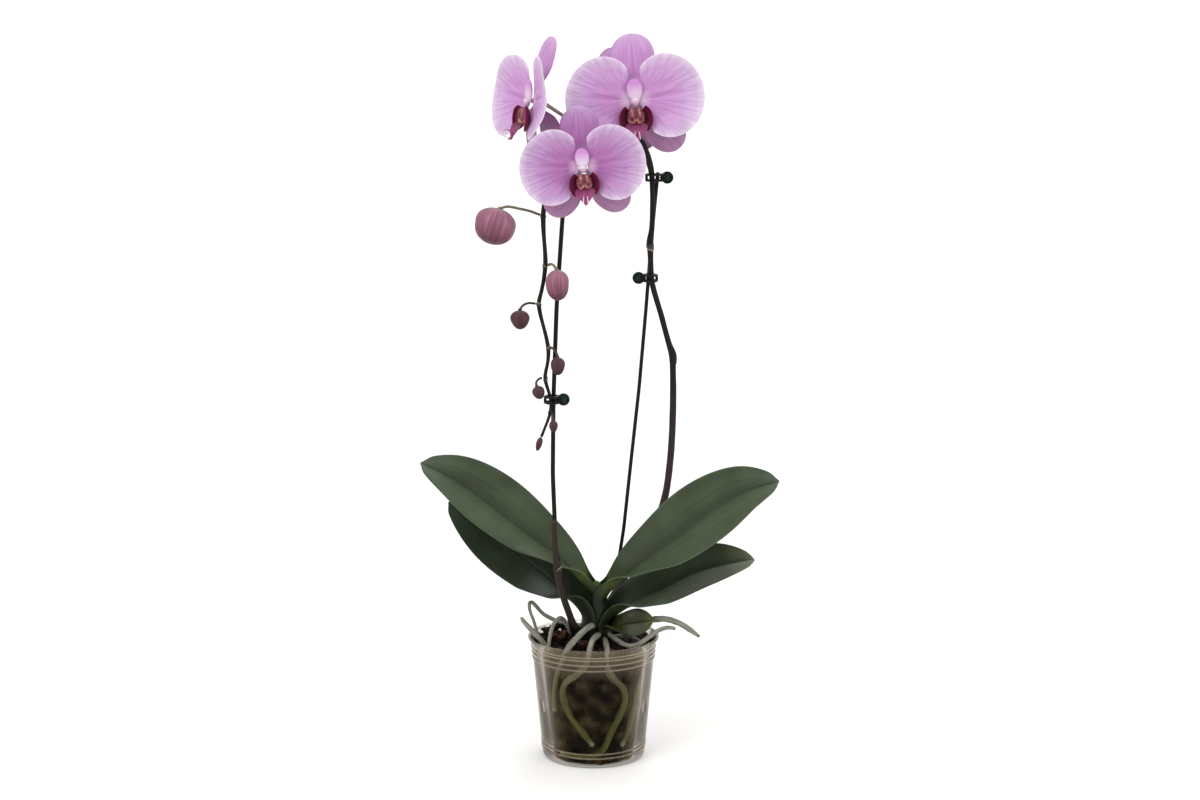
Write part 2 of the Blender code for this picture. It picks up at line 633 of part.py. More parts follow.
def clip(name, height, stem, stake, grip, handle, material):
    """A spring clip: two bands round the stem and its stake, and a ring to squeeze at one side."""
    centre = 0.5 * (Vector(stem) + Vector(stake))
    across = 0.5 * abs(stem[0] - stake[0]) + grip
    deep = 0.5 * abs(stem[1] - stake[1]) + grip
    turns = [2 * math.pi * step / 12 for step in range(12)]
    bands = []
    for lift in (-CLIP_SPREAD, CLIP_SPREAD):
        loop = [(centre.x + across * math.cos(turn), centre.y + deep * math.sin(turn), height + lift,
                 CLIP_WIRE) for turn in turns]
        bands.append(as_mesh(tube(f"{name}_band_{len(bands)}", loop, 1, material, 0, cyclic=True)))
    bpy.ops.mesh.primitive_torus_add(major_segments=12, minor_segments=5, major_radius=CLIP_RING * MM,
                                     minor_radius=CLIP_RING_WIRE * MM, rotation=(math.pi / 2, 0, 0))
    ring = bpy.context.active_object
    for collection in list(ring.users_collection):
        collection.objects.unlink(ring)
    bpy.data.collections["potted_orchid"].objects.link(ring)
    ring.name = name
    ring.data.materials.append(material)
    ring.location = Vector((centre.x + handle * (across + CLIP_RING_SET), centre.y, height)) * MM
    for band in bands:
        combine(ring, band, "UNION")


def build_clips():
    """Two clips hold the rising spike to the right stake, one holds its tail to the left stake."""
    dark = finish("clip_dark_green", (0.01, 0.02, 0.01), 0.25)
    for description in CLIPS:
        clip(*description, dark)


# ---------------------------------------------------------------- roots

def wall_point(bearing, height, radius):
    """A root's centre where it lies against the inside of the pot; bearing 0 is the front."""
    turn = math.radians(bearing)
    inner = (wall_radius(height) - WALL) * math.cos(math.pi / POT_SIDES) - radius - GAP
    return (inner * math.sin(turn), -inner * math.cos(turn), height, radius)


def from_crown(bearing, height, radius):
    """A root's first two stations: it leaves the crown squarely; bearing 0 is the front."""
    centre, _, crown_radius = nearest(smooth_path(CROWN, 4), (3, -2, height))
    turn = math.radians(bearing)
    outward = Vector((math.sin(turn), -math.cos(turn), 0))
    foot = centre + outward * (crown_radius + GAP)
    return [(*foot, radius), (*(foot + outward * radius), radius)]


def root_routes():
    """Each root's stations, from the crown outwards."""
    return {
        "root_front_left": from_crown(-16, 126, 3.2) + [
            (-5, -23, 125.6, 3.3), (-14, -35.6, 120.6, 3.3), (-23, -45, 112, 3.2), wall_point(-32, 101, 2.9),
            wall_point(-39, 88, 2.7), wall_point(-45, 70, 2.5), wall_point(-47, 50, 2.3),
        ],
        "root_front_centre": from_crown(8, 118, 3.0) + [
            (1.6, -25, 117.4, 3.0), (-1.8, -38, 115.5, 3.0), (-4, -47.6, 108.5, 2.9),
            wall_point(-7, 99, 3.1), wall_point(-18, 88, 3.6), wall_point(-31, 79, 3.6),
            wall_point(-34, 66, 3.6), wall_point(-27, 50, 3.6), wall_point(-13, 35, 3.4),
            wall_point(-6, 27, 3.0), wall_point(0, 21, 2.2),
        ],
        "root_front_right": from_crown(36, 111, 2.9) + [
            (11.6, -26, 110.4, 3.0), (12.6, -38, 108.6, 3.0), (12, -46.4, 104, 2.9),
            wall_point(14, 95, 3.1), wall_point(21, 84, 3.6), wall_point(33, 74, 3.6),
            wall_point(36, 62, 3.6), wall_point(30, 48, 3.6), wall_point(20, 33, 3.4),
            wall_point(15, 22, 3.0), wall_point(7, 13.5, 2.8), wall_point(-6, 10, 2.7),
            wall_point(-24, 9.8, 2.5), wall_point(-42, 10.8, 2.0),
        ],
        "root_right_loop": from_crown(60, 118, 2.4) + [
            (22, -20, 112.6, 2.6), (33, -32, 110.4, 2.6), (42, -33, 113.4, 2.5),
            (51, -28, 118.6, 2.5), (60, -25, 124, 2.4), (69, -24, 126.2, 2.2), (75, -23.4, 124.4, 1.6),
        ],
        "root_right_over_rim": from_crown(88, 120, 3.2) + [
            (27, -3, 122, 3.4), (41, -8, 127, 3.5), (54, -13, 130.4, 3.5), (66, -16, 132, 3.3),
            (79, -17, 128, 3.0), (90, -18, 121, 2.7), (97, -18.5, 115.8, 1.7),
        ],
        "root_right_wall": from_crown(112, 108, 2.7) + [
            (28, 8, 109.4, 2.8), (40, 1, 107, 2.8), (47, -6, 104, 2.7), wall_point(72, 96, 2.8),
            wall_point(62, 84, 2.9), wall_point(54, 68, 3.0), wall_point(49, 48, 3.0),
            wall_point(42, 30, 2.8), wall_point(34, 18, 2.2),
        ],
        "root_left_loop": from_crown(-104, 119, 2.3) + [
            (-22, 3, 122.4, 2.2), (-36, 8, 124.6, 2.2), (-48, 11, 130.6, 2.1), (-56, 12.4, 140, 2.0),
            (-59.4, 10.6, 141.6, 1.9), (-58.8, 7, 133, 1.8), (-55, 3.4, 124.4, 1.8),
            (-52.6, 0, 115.4, 1.7),
        ],
        "root_left_over_rim": [
            (-38, -19, 100, 2.6), (-44, -20.6, 108.6, 2.8), (-51, -18.8, 116.4, 2.9),
            (-58.6, -15.6, 123.4, 2.9), (-65, -12.4, 130, 2.3), (-66.4, -11, 132.4, 1.3),
        ],
        "root_arch": from_crown(-66, 106, 2.2) + [
            (-16, -9, 110, 2.3), (-24, -15, 126, 2.3), (-29.4, -20.6, 134.6, 2.3),
            (-35, -24.6, 132, 2.2), (-39.2, -28, 121, 2.1), (-41, -30.4, 106, 1.8),
        ],
    }


def build_roots(filling):
    """Thick aerial roots over the bark, down the inside of the pot and out over its rim."""
    silver = finish("root_silver", (0.32, 0.33, 0.24), 0.7)
    for name, stations in root_routes().items():
        tube(name, stations, 2, silver)
        bed(filling, stations, 2)


def build():
    """Build every piece of the plant in its pot."""
    for old in list(bpy.data.objects):
        bpy.data.objects.remove(old)
    for name in ("potted_orchid", "cutters"):
        bpy.context.scene.collection.children.link(bpy.data.collections.new(name))
    build_pot()
    filling = build_bark()
    build_stems()
    for stations, steps in ((CROWN, 2), (STAKE_LEFT, 1), (STAKE_RIGHT, 1)):
        bed(filling, stations, steps)
    build_leaves()
    build_flowers()
    build_buds()
    build_clips()
    build_roots(filling)


build()
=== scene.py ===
"""The looks of a potted moth orchid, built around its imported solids.

Every class here is one sub-assembly of the plant: it holds its own sizes, models its pieces and
dresses them. Sizes are in millimetres and turned to metres by MM when a mesh is made. Where a piece
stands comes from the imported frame: the round stems and roots follow the rings of their solids.
"""

import logging
import math
import random
from collections.abc import Callable, Iterator, Sequence
from contextlib import contextmanager
from dataclasses import dataclass, field
from enum import Enum
from functools import cached_property

import bmesh
import bpy
import numpy as np
from mathutils import Euler, Matrix, Vector, noise


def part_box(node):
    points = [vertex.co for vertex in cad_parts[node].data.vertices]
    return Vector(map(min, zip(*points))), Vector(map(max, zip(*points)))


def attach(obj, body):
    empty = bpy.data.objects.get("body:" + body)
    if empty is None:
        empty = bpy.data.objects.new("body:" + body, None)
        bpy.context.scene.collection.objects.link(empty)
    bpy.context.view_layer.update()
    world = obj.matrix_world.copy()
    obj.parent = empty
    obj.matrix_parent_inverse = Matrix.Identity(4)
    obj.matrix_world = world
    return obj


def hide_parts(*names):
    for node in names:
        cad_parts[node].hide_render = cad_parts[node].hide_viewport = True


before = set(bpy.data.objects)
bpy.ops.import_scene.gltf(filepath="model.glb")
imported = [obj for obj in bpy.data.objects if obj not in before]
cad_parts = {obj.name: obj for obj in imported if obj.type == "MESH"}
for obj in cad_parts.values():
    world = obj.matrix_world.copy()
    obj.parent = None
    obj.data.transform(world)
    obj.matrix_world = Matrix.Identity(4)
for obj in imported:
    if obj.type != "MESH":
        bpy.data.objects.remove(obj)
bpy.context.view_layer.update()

MM = 0.001
LOG = logging.getLogger("potted_orchid")
Object = bpy.types.Object
Material = bpy.types.Material
NodeTree = bpy.types.NodeTree
Shape = Callable[[float, float], Vector]
Socket = bpy.types.NodeSocket
Sockets = bpy.types.NodeOutputs
Stops = Sequence[tuple[float, str]]
BLACK, WHITE = "000000", "FFFFFF"
CROWN_AT = (3.0, -2.0)      # the crown's place on plan, in millimetres


# ---------------------------------------------------------------- colour and nodes

def to_linear(colour: str) -> tuple[float, float, float, float]:
    """Turn an sRGB hex colour into the linear values that shaders take.

    Args:
        colour: six hex digits, such as "C78BCB".

    Returns:
        Red, green, blue and an alpha of one.
    """
    channels = [int(colour[i:i + 2], 16) / 255 for i in (0, 2, 4)]
    linear = [c / 12.92 if c <= 0.04045 else ((c + 0.055) / 1.055) ** 2.4 for c in channels]
    return (*linear, 1.0)


def add_node(tree: NodeTree, kind: str, inputs: dict | None = None,
             stops: Stops = (), **settings: object) -> bpy.types.Node:
    """Add a node, with its settings, its inputs and, on a colour ramp, its stops.

    Args:
        tree: the material's node tree.
        kind: the node's type name without "ShaderNode".
        inputs: values or output sockets to link, by input name or number.
        stops: places and hex colours of a colour ramp.
        settings: the node's own properties.

    Returns:
        The new node.
    """
    node = tree.nodes.new("ShaderNode" + kind)
    for name, value in settings.items():
        setattr(node, name, value)
    for name, value in (inputs or {}).items():
        if isinstance(value, bpy.types.NodeSocket):
            tree.links.new(value, node.inputs[name])
        else:
            node.inputs[name].default_value = value
    if stops:
        elements = node.color_ramp.elements
        while len(elements) < len(stops):
            elements.new(0.5)
        for element, (place, colour) in zip(elements, stops):
            element.position = place
            element.color = to_linear(colour)
    return node


@dataclass
class Wiring:
    """One material's nodes, with short ways to add the usual ones."""

    tree: NodeTree

    @property
    def shader(self) -> bpy.types.Node:
        """The material's Principled node."""
        return self.tree.nodes["Principled BSDF"]

    @cached_property
    def place(self) -> Sockets:
        """Where a point is, on the UV map and in space."""
        return self.add("TexCoord").outputs

    @cached_property
    def uv(self) -> Sockets:
        """X runs across a piece and Y along it."""
        return self.add("SeparateXYZ", {0: self.place["UV"]}).outputs

    def add(self, kind: str, inputs: dict | None = None, **settings: object) -> bpy.types.Node:
        """Add a node to this material, in the way of add_node."""
        return add_node(self.tree, kind, inputs, **settings)

    def set_all(self, values: dict[str, object]) -> None:
        """Set what is the same all over, by the names of the shader's sockets."""
        for name, value in values.items():
            self.shader.inputs[name].default_value = value

    def ramp(self, value: Socket, stops: Stops) -> Socket:
        """The colour for a value between the stops."""
        return self.add("ValToRGB", {"Fac": value}, stops=stops).outputs["Color"]

    def along(self, *stops: tuple[float, str]) -> Socket:
        """Colours from a piece's foot to its tip."""
        return self.ramp(self.uv["Y"], stops)

    def patches(self, size: float, detail: float) -> Socket:
        """Cloudy patches in space, of a size in millimetres."""
        return self.add("TexNoise", {"Vector": self.place["Object"], "Scale": 1 / (size * MM),
                                     "Detail": detail}).outputs["Fac"]

    def streaks(self, across: float, along: float, detail: float) -> Socket:
        """Streaks along a piece, so many across and along it."""
        lines = self.add("Mapping", {"Vector": self.place["UV"], "Scale": (across, along, 1)})
        return self.add("TexNoise", {"Vector": lines.outputs[0], "Scale": 1.0,
                                     "Detail": detail}).outputs["Fac"]

    def maths(self, operation: str, *values: Socket | float, **settings: object) -> Socket:
        """The result of one sum."""
        return self.add("Math", dict(enumerate(values)), operation=operation, **settings).outputs[0]

    def spread(self, value: Socket, limits: dict[int, float]) -> Socket:
        """A value mapped to another range; limits go by the Map Range node's input numbers."""
        return self.add("MapRange", {0: value, **limits}).outputs[0]

    def blend(self, kind: str, share: Socket | float, first: Socket, second: Socket | tuple) -> Socket:
        """Lay a second colour over the first."""
        return self.add("Mix", {"Factor": share, 6: first, 7: second}, data_type="RGBA",
                        blend_type=kind).outputs[2]

    def colour(self, source: Socket) -> None:
        """Give the shader its colour."""
        self.tree.links.new(source, self.shader.inputs["Base Color"])

    def relief(self, height: Socket, strength: float, depth: float) -> None:
        """Give the shader a fine relief, with its depth in millimetres."""
        bump = self.add("Bump", {"Height": height, "Strength": strength, "Distance": depth * MM})
        self.tree.links.new(bump.outputs[0], self.shader.inputs["Normal"])


@dataclass(frozen=True)
class Finish:
    """One real surface. A subclass names its colours and wires its nodes in dress()."""

    def material(self) -> Material:
        """The finish as a material, made once and then shared.

        Returns:
            The material.
        """
        name = "_".join(["".join(c if c.isalnum() else "_" for c in str(part)) for part in self.title()])
        if name in bpy.data.materials:
            return bpy.data.materials[name]
        made = bpy.data.materials.new(name)
        made.use_nodes = True
        self.dress(Wiring(made.node_tree))
        return made

    def title(self) -> tuple:
        """What tells this finish from the others."""
        return (type(self).__name__,)

    def dress(self, skin: Wiring) -> None:
        """Wire the finish's nodes into its shader.

        Args:
            skin: the material's nodes.
        """
        raise NotImplementedError


class Face(Enum):
    """Which face of a petal or sepal a finish is for."""

    FRONT = "front"
    BACK = "back"
    RIM = "rim"


class Tone(Enum):
    """How deep a petal's or sepal's pink is; the third tone is the side sepals' pink darkened as painted
    shade under the petals.
    """

    PALE = "pale"
    DEEP = "deep"
    DUSKY = "dusky"


PETAL_STOPS: dict[Tone, Stops] = {
    Tone.PALE: ((0.0, "DFCBDE"), (0.07, "D4B7D4"), (0.2, "BA85BB"), (0.42, "B583B8"), (0.68, "B890BD"),
                (0.88, "BFA3C4"), (1.0, "D0BFD3")),
    Tone.DEEP: ((0.0, "DAC4D8"), (0.07, "C79FC6"), (0.2, "9C6299"), (0.42, "9D669E"), (0.68, "A57CA9"),
                (0.88, "B395B8"), (1.0, "CBB8CF")),
    # The side sepals' tone: a duller, darker pink, painted shade under the petals.
    Tone.DUSKY: ((0.0, "B9A3B3"), (0.15, "9A7093"), (0.5, "946A8E"), (0.85, "9A7595"), (1.0, "B394B0")),
}


@dataclass(frozen=True)
class PetalSkin(Finish):
    """Living petal tissue: soft, slightly glistening cells that let light through.

    Veins fan out from the claw, the base is nearly white, the middle is the deepest pink and the
    rim is pale. The UV map runs across the petal in U and from base to rim in V.
    """

    face: Face = Face.FRONT
    tone: Tone = Tone.PALE
    veins: int = 52             # fine veins across one petal
    roughness: float = 0.55
    rim: str = "D9C9DC"
    fold: str = "8E4F88"        # darker pink down a petal's middle: its midvein, and painted shade in its crease

    def title(self) -> tuple:
        """The face and the tone tell the finishes apart."""
        return ("petal", self.face.value, self.tone.value)

    def dress(self, skin: Wiring) -> None:
        """Wire the vein pattern and the base-to-rim colours.

        Args:
            skin: the material's nodes.
        """
        skin.set_all({"Roughness": self.roughness, "Subsurface Weight": 0.1, "Subsurface Scale": 0.0012,
                     "Subsurface Radius": (1.0, 0.55, 0.9), "Specular IOR Level": 0.3})
        if self.face is Face.RIM:
            skin.set_all({"Base Color": to_linear(self.rim)})
            return
        line = skin.ramp(skin.streaks(self.veins, 2.6, 3.0), ((0.36, BLACK), (0.62, WHITE)))
        veined = skin.blend("SOFT_LIGHT", 0.2, skin.along(*PETAL_STOPS[self.tone]), line)
        cloud = skin.add("TexNoise", {"Vector": skin.place["UV"], "Scale": 4.0, "Detail": 2.0})
        clouded = skin.blend("SOFT_LIGHT", 0.22, veined, cloud.outputs["Fac"])
        # Darker pink down the middle: partly the midvein's colour, partly painted shade in the crease.
        middle = skin.ramp(skin.uv["X"], ((0.45, BLACK), (0.5, WHITE), (0.55, BLACK)))
        inner = skin.along((0.08, BLACK), (0.24, WHITE), (0.75, BLACK))
        share = skin.maths("MULTIPLY", skin.maths("MULTIPLY", middle, inner), 0.55)
        skin.colour(skin.blend("MIX", share, clouded, to_linear(self.fold)))
        skin.relief(line, 0.25, 0.3)


@dataclass(frozen=True)
class LipSkin(Finish):
    """The lip's waxy magenta tissue, darkest inside, with a paler margin and fine dark veins."""

    inside: str = "3A0619"
    body: str = "5E0F33"
    margin: str = "7E2A55"
    veins: int = 22

    def title(self) -> tuple:
        """The inside colour tells the lobes' finish from the mid-lobe's."""
        return ("lip", self.inside)

    def dress(self, skin: Wiring) -> None:
        """Wire the inside-to-margin colours and the veins.

        Args:
            skin: the material's nodes.
        """
        skin.set_all({"Roughness": 0.45, "Specular IOR Level": 0.3})
        tone = skin.along((0.0, self.inside), (0.55, self.body), (0.9, self.body), (1.0, self.margin))
        skin.colour(skin.blend("OVERLAY", 0.35, tone, skin.streaks(self.veins, 1.5, 2.0)))


@dataclass(frozen=True)
class CallusSkin(Finish):
    """The warty growth in the throat: tan ridges with dark red-brown blotches, and hollows darkened as
    painted shade.

    The mesh's "ridge" attribute is 1 on its ridges and 0 in its hollows.
    """

    blotch_mm: float = 2.4

    def dress(self, skin: Wiring) -> None:
        """Wire the ridges' and the blotches' colours.

        Args:
            skin: the material's nodes.
        """
        skin.set_all({"Roughness": 0.45})
        ridge = skin.add("Attribute", attribute_name="ridge").outputs["Fac"]
        # Blotches are the callus's own colour; the dark hollows are painted shade.
        blotches_and_shade = skin.maths("MULTIPLY_ADD", skin.patches(self.blotch_mm, 2.0), 0.45, ridge)
        skin.colour(skin.ramp(blotches_and_shade, ((0.3, "43101F"), (0.5, "6E2F3A"), (0.68, "905053"), (0.9, "B67E6C"))))


@dataclass(frozen=True)
class StalkSkin(Finish):
    """A flower's stalk: pale grey-green, warmer where it leaves the spike."""

    def dress(self, skin: Wiring) -> None:
        """Wire the colours along the stalk.

        Args:
            skin: the material's nodes.
        """
        skin.set_all({"Roughness": 0.45})
        skin.colour(skin.along((0.0, "5C5848"), (0.3, "7F8068"), (0.8, "A9A18F"), (1.0, "BBA0B2")))


@dataclass(frozen=True)
class ColumnSkin(Finish):
    """The column's glistening tissue, lilac-pink above and white below."""

    top: str = "BC80BF"
    low: str = "D2BBD2"

    def title(self) -> tuple:
        """The top colour tells the hood from the anther cap."""
        return ("column", self.top)

    def dress(self, skin: Wiring) -> None:
        """Wire the colours from the column's foot to its top.

        Args:
            skin: the material's nodes.
        """
        skin.set_all({"Roughness": 0.45, "Specular IOR Level": 0.25, "Subsurface Weight": 0.1,
                     "Subsurface Scale": 0.001})
        skin.colour(skin.along((0.12, self.low), (0.42, self.low), (0.72, self.top), (1.0, self.top)))


@dataclass(frozen=True)
class BudSkin(Finish):
    """Closed sepals: dusty mauve, streaked lengthwise, greener where the stalk joins."""

    ripe: bool = True           # a large bud near opening, or a small dark one
    streaks: int = 34

    def title(self) -> tuple:
        """Ripe buds and young ones have their own colours."""
        return ("bud", "ripe" if self.ripe else "young")

    def dress(self, skin: Wiring) -> None:
        """Wire the streaks and the colours from stalk to tip.

        Args:
            skin: the material's nodes.
        """
        skin.set_all({"Roughness": 0.5, "Specular IOR Level": 0.25})
        ripe = ((0.0, "77705A"), (0.07, "94707A"), (0.3, "905F73"), (0.55, "7A4B5D"), (0.75, "5C3040"),
                (1.0, "3E1C27"))
        young = ((0.0, "554C3C"), (0.12, "4C3234"), (0.45, "45262B"), (1.0, "241312"))
        light = skin.ramp(skin.streaks(self.streaks, 1.3, 3.0), ((0.35, BLACK), (0.7, WHITE)))
        skin.colour(skin.blend("SOFT_LIGHT", 0.4, skin.along(*(ripe if self.ripe else young)), light))
        skin.relief(light, 0.2, 0.4)


@dataclass(frozen=True)
class LeafSkin(Finish):
    """A strap leaf's cuticle: leathery grey-green with a waxy sheen and faint parallel veins."""

    blade: str = "424F37"
    base: str = "4A5C2A"
    # Lighter tip colour: painted sheen.
    tip: str = "5C6756"
    # Near-black sheath colour: painted shade where the leaf wraps the crown.
    sheath: str = "0F1705"
    # Dark midrib line: painted shade in the midrib's groove.
    midrib: str = "161D10"
    veins: int = 90
    mottle_mm: float = 26.0

    def title(self) -> tuple:
        """The blade's colour tells the leaves' finishes apart."""
        return ("leaf", self.blade)

    def dress(self, skin: Wiring) -> None:
        """Wire the veins and the mottling, with painted shade in the midrib's groove and over one half of
        the blade.

        Args:
            skin: the material's nodes.
        """
        skin.set_all({"Roughness": 0.38, "Specular IOR Level": 0.24})
        # Colours from sheath to tip: the near-black sheath is painted shade at the crown and the lighter tip
        # is painted sheen.
        tone = skin.along((0.0, self.sheath), (0.1, self.sheath), (0.17, self.base), (0.34, self.blade),
                          (0.75, self.blade), (1.0, self.tip))
        mottled = skin.blend("OVERLAY", 0.45, tone, skin.patches(self.mottle_mm, 3.0))
        vein = skin.streaks(self.veins, 0.9, 2.0)
        streaked = skin.blend("OVERLAY", 0.2, mottled, skin.ramp(vein, ((0.3, BLACK), (0.7, WHITE))))
        # Painted shade across the blade: one half darker than the other, darkest just beside the midrib, the
        # rims lightest.
        shade_painted_across = skin.ramp(skin.uv["X"], (
            (0.0, WHITE), (0.02, "DCDCDC"), (0.3, "F4F4F4"), (0.47, "D8D8D8"), (0.53, "BCBCBC"),
            (0.75, "DADADA"), (0.975, "D0D0D0"), (1.0, WHITE)))
        veined = skin.blend("MULTIPLY", 1.0, streaked, shade_painted_across)
        # The dark line down the midrib is painted shade in its groove.
        middle = skin.ramp(skin.uv["X"], ((0.487, BLACK), (0.5, WHITE), (0.513, BLACK)))
        skin.colour(skin.blend("MIX", skin.maths("MULTIPLY", middle, 0.75), veined, to_linear(self.midrib)))
        skin.relief(vein, 0.25, 0.4)


@dataclass(frozen=True)
class StemSkin(Finish):
    """Woody flower stem: nearly black-brown, faintly streaked, with a dull sheen."""

    base: str = "171311"
    end: str = "4A3B3B"
    turn_at: float = 0.68       # share of the length where the colour starts to change

    def title(self) -> tuple:
        """The two colours tell the stems apart."""
        return ("stem", self.base, self.end)

    def dress(self, skin: Wiring) -> None:
        """Wire the colour along the stem and its streaks.

        Args:
            skin: the material's nodes.
        """
        skin.set_all({"Roughness": 0.5, "Specular IOR Level": 0.14})
        tone = skin.along((0.0, self.base), (self.turn_at, self.base), (1.0, self.end))
        streak = skin.streaks(12, 60, 3.0)
        skin.colour(skin.blend("OVERLAY", 0.4, tone, streak))
        skin.relief(streak, 0.25, 0.3)


@dataclass(frozen=True)
class BractSkin(Finish):
    """A dry papery bract, pale brown with a darker base."""

    def dress(self, skin: Wiring) -> None:
        """Wire the base-to-tip colours.

        Args:
            skin: the material's nodes.
        """
        skin.set_all({"Roughness": 0.7})
        skin.colour(skin.along((0.0, "1E1915"), (0.6, "3A3028"), (1.0, "8A7E6E")))


@dataclass(frozen=True)
class RootSkin(Finish):
    """Velamen, a root's spongy coat: silver-grey where dry, olive where it is wet in the pot."""

    wet_mm: float = 24.0        # wholly wet and olive below this height
    dry_mm: float = 116.0       # wholly dry and silver above this one
    fibre_mm: float = 2.4
    tip: str = "7C7C68"

    def title(self) -> tuple:
        """The tip's colour tells the roots' finishes apart."""
        return ("root", self.tip)

    def dress(self, skin: Wiring) -> None:
        """Wire the dry and wet colours, the fibres and the tip.

        Args:
            skin: the material's nodes.
        """
        skin.set_all({"Roughness": 0.68})
        height = skin.add("SeparateXYZ", {0: skin.place["Object"]}).outputs["Z"]
        tone = skin.ramp(skin.spread(height, {1: self.wet_mm * MM, 2: self.dry_mm * MM}), (
            (0.0, "57591A"), (0.35, "5E5E28"), (0.6, "6E6C4C"), (0.85, "7E7B66"), (1.0, "8C8B7E")))
        cloud = skin.patches(self.fibre_mm, 4.0)
        patch = skin.ramp(skin.streaks(16, 7, 3.0), ((0.32, "303030"), (0.5, "808080"), (0.7, "B8B8B8")))
        mixed = skin.blend("OVERLAY", 0.5, skin.blend("OVERLAY", 0.6, tone, patch), cloud)
        last = skin.spread(skin.uv["Y"], {1: 0.93, 2: 0.975})
        skin.colour(skin.blend("MIX", last, mixed, to_linear(self.tip)))
        skin.relief(cloud, 0.5, 0.6)


@dataclass(frozen=True)
class CrownSkin(Finish):
    """The crown's overlapping sheaths: deep green darkened to near black as painted shade under the leaves,
    bright yellow-green where leaves part.
    """

    def dress(self, skin: Wiring) -> None:
        """Wire the colours up the crown.

        Args:
            skin: the material's nodes.
        """
        skin.set_all({"Roughness": 0.5, "Specular IOR Level": 0.15})
        # The near-black greens partway up are painted shade under the leaves.
        tone = skin.along((0.0, "2A2616"), (0.3, "222910"), (0.6, "18220A"), (0.85, "22310C"),
                          (1.0, "50661A"))
        skin.colour(skin.blend("OVERLAY", 0.4, tone, skin.streaks(26, 1.4, 2.0)))


@dataclass(frozen=True)
class BarkSkin(Finish):
    """Pine bark: layered, from red-brown to nearly black, dull and rough."""

    grain_mm: float = 5.0
    chip_mm: float = 12.0
    shade: str = "warm"

    def title(self) -> tuple:
        """The shade tells the top chips from the damp ones against the wall."""
        return ("bark", self.shade)

    def dress(self, skin: Wiring) -> None:
        """Wire the chips' varied browns and their layers.

        Args:
            skin: the material's nodes.
        """
        skin.set_all({"Roughness": 0.85, "Specular IOR Level": 0.1})
        warm = ((0.32, "070504"), (0.48, "170D09"), (0.6, "321A12"), (0.74, "54301F"))
        damp = ((0.32, "14110C"), (0.48, "221C14"), (0.6, "2E271C"), (0.74, "3E3527"))
        tone = skin.ramp(skin.patches(self.chip_mm, 0.0), warm if self.shade == "warm" else damp)
        grain = skin.patches(self.grain_mm, 2.0)
        skin.colour(skin.blend("OVERLAY", 0.5, tone, grain))
        skin.relief(grain, 0.6, 1.2)


@dataclass(frozen=True)
class ClearPlastic(Finish):
    """Thermoformed clear polypropylene: slightly milky and warm, hazier where seen edge on."""

    haze: str = "9E907A"
    haze_front: float = 0.0
    haze_edge: float = 0.66
    gloss: float = 0.2          # roughness of the reflection
    sheen_from: float = 0.03    # reflectance under which the wall shows no reflection
    rings: tuple[float, ...] = ()       # heights of the moulded rings, where the wall is thicker and lighter haze is painted as the rings' highlights
    ring_haze: float = 0.45
    mist: tuple[float, float, float] = (84.0, 104.0, 0.15)      # foot, full height, haze added
    ring_half: float = 0.42     # half a ring's height in millimetres
    damp_mm: float = 16.0       # size of the damp patches inside

    def dress(self, skin: Wiring) -> None:
        """Mix see-through plastic with its own haze, and lay a reflection over it.

        Args:
            skin: the material's nodes.
        """
        skin.set_all({"Base Color": to_linear(self.haze), "Roughness": 0.3})
        facing = skin.add("LayerWeight", {"Blend": 0.3}).outputs["Facing"]
        haze = skin.spread(facing, {1: 0.16, 2: 0.85, 3: self.haze_front, 4: self.haze_edge})
        film = skin.spread(skin.patches(self.damp_mm, 4.0), {1: 0.35, 2: 0.75, 3: 0.7, 4: 1.4})
        height = skin.add("SeparateXYZ", {0: skin.place["Object"]}).outputs["Z"]
        foot, full, added = self.mist
        mist = skin.spread(height, {1: foot * MM, 2: full * MM, 4: added})
        share = skin.maths("ADD", skin.maths("MULTIPLY", haze, film), mist)
        # Lighter haze painted in bands at the rings: partly the thicker wall's haze, partly painted
        # highlights on the rings.
        for ring in self.rings:
            ring_highlight_mask = skin.maths("COMPARE", height, ring * MM, self.ring_half * MM)
            share = skin.maths("MULTIPLY_ADD", ring_highlight_mask, self.ring_haze, share, use_clamp=True)
        through = skin.add("BsdfTransparent", {"Color": (0.97, 0.96, 0.94, 1.0)})
        wall = skin.add("MixShader", {0: share, 1: through.outputs[0], 2: skin.shader.outputs[0]})
        mirror = skin.add("BsdfAnisotropic", {"Roughness": self.gloss})
        sheen = skin.spread(skin.add("Fresnel", {"IOR": 1.14}).outputs[0], {1: self.sheen_from})
        glossy = skin.add("MixShader", {0: sheen, 1: wall.outputs[0], 2: mirror.outputs[0]})
        skin.tree.links.new(glossy.outputs[0], skin.tree.nodes["Material Output"].inputs["Surface"])


@dataclass(frozen=True)
class Coated(Finish):
    """A moulded or coated plastic of one colour, faintly uneven in its gloss."""

    label: str = "black_coating"
    colour: str = "070707"
    roughness: float = 0.4
    patch_mm: float = 4.0

    def title(self) -> tuple:
        """Each coating goes by its label."""
        return (self.label,)

    def dress(self, skin: Wiring) -> None:
        """Wire the gloss's small unevenness.

        Args:
            skin: the material's nodes.
        """
        skin.set_all({"Base Color": to_linear(self.colour), "Specular IOR Level": 0.18})
        gloss = skin.spread(skin.patches(self.patch_mm, 2.0),
                            {3: self.roughness - 0.08, 4: self.roughness + 0.1})
        skin.tree.links.new(gloss, skin.shader.inputs["Roughness"])


# ---------------------------------------------------------------- modelling by hand

def activate(piece: Object) -> None:
    """Select one piece alone and make it active.

    Args:
        piece: the piece to work on.
    """
    bpy.ops.object.select_all(action="DESELECT")
    piece.select_set(True)
    bpy.context.view_layer.objects.active = piece


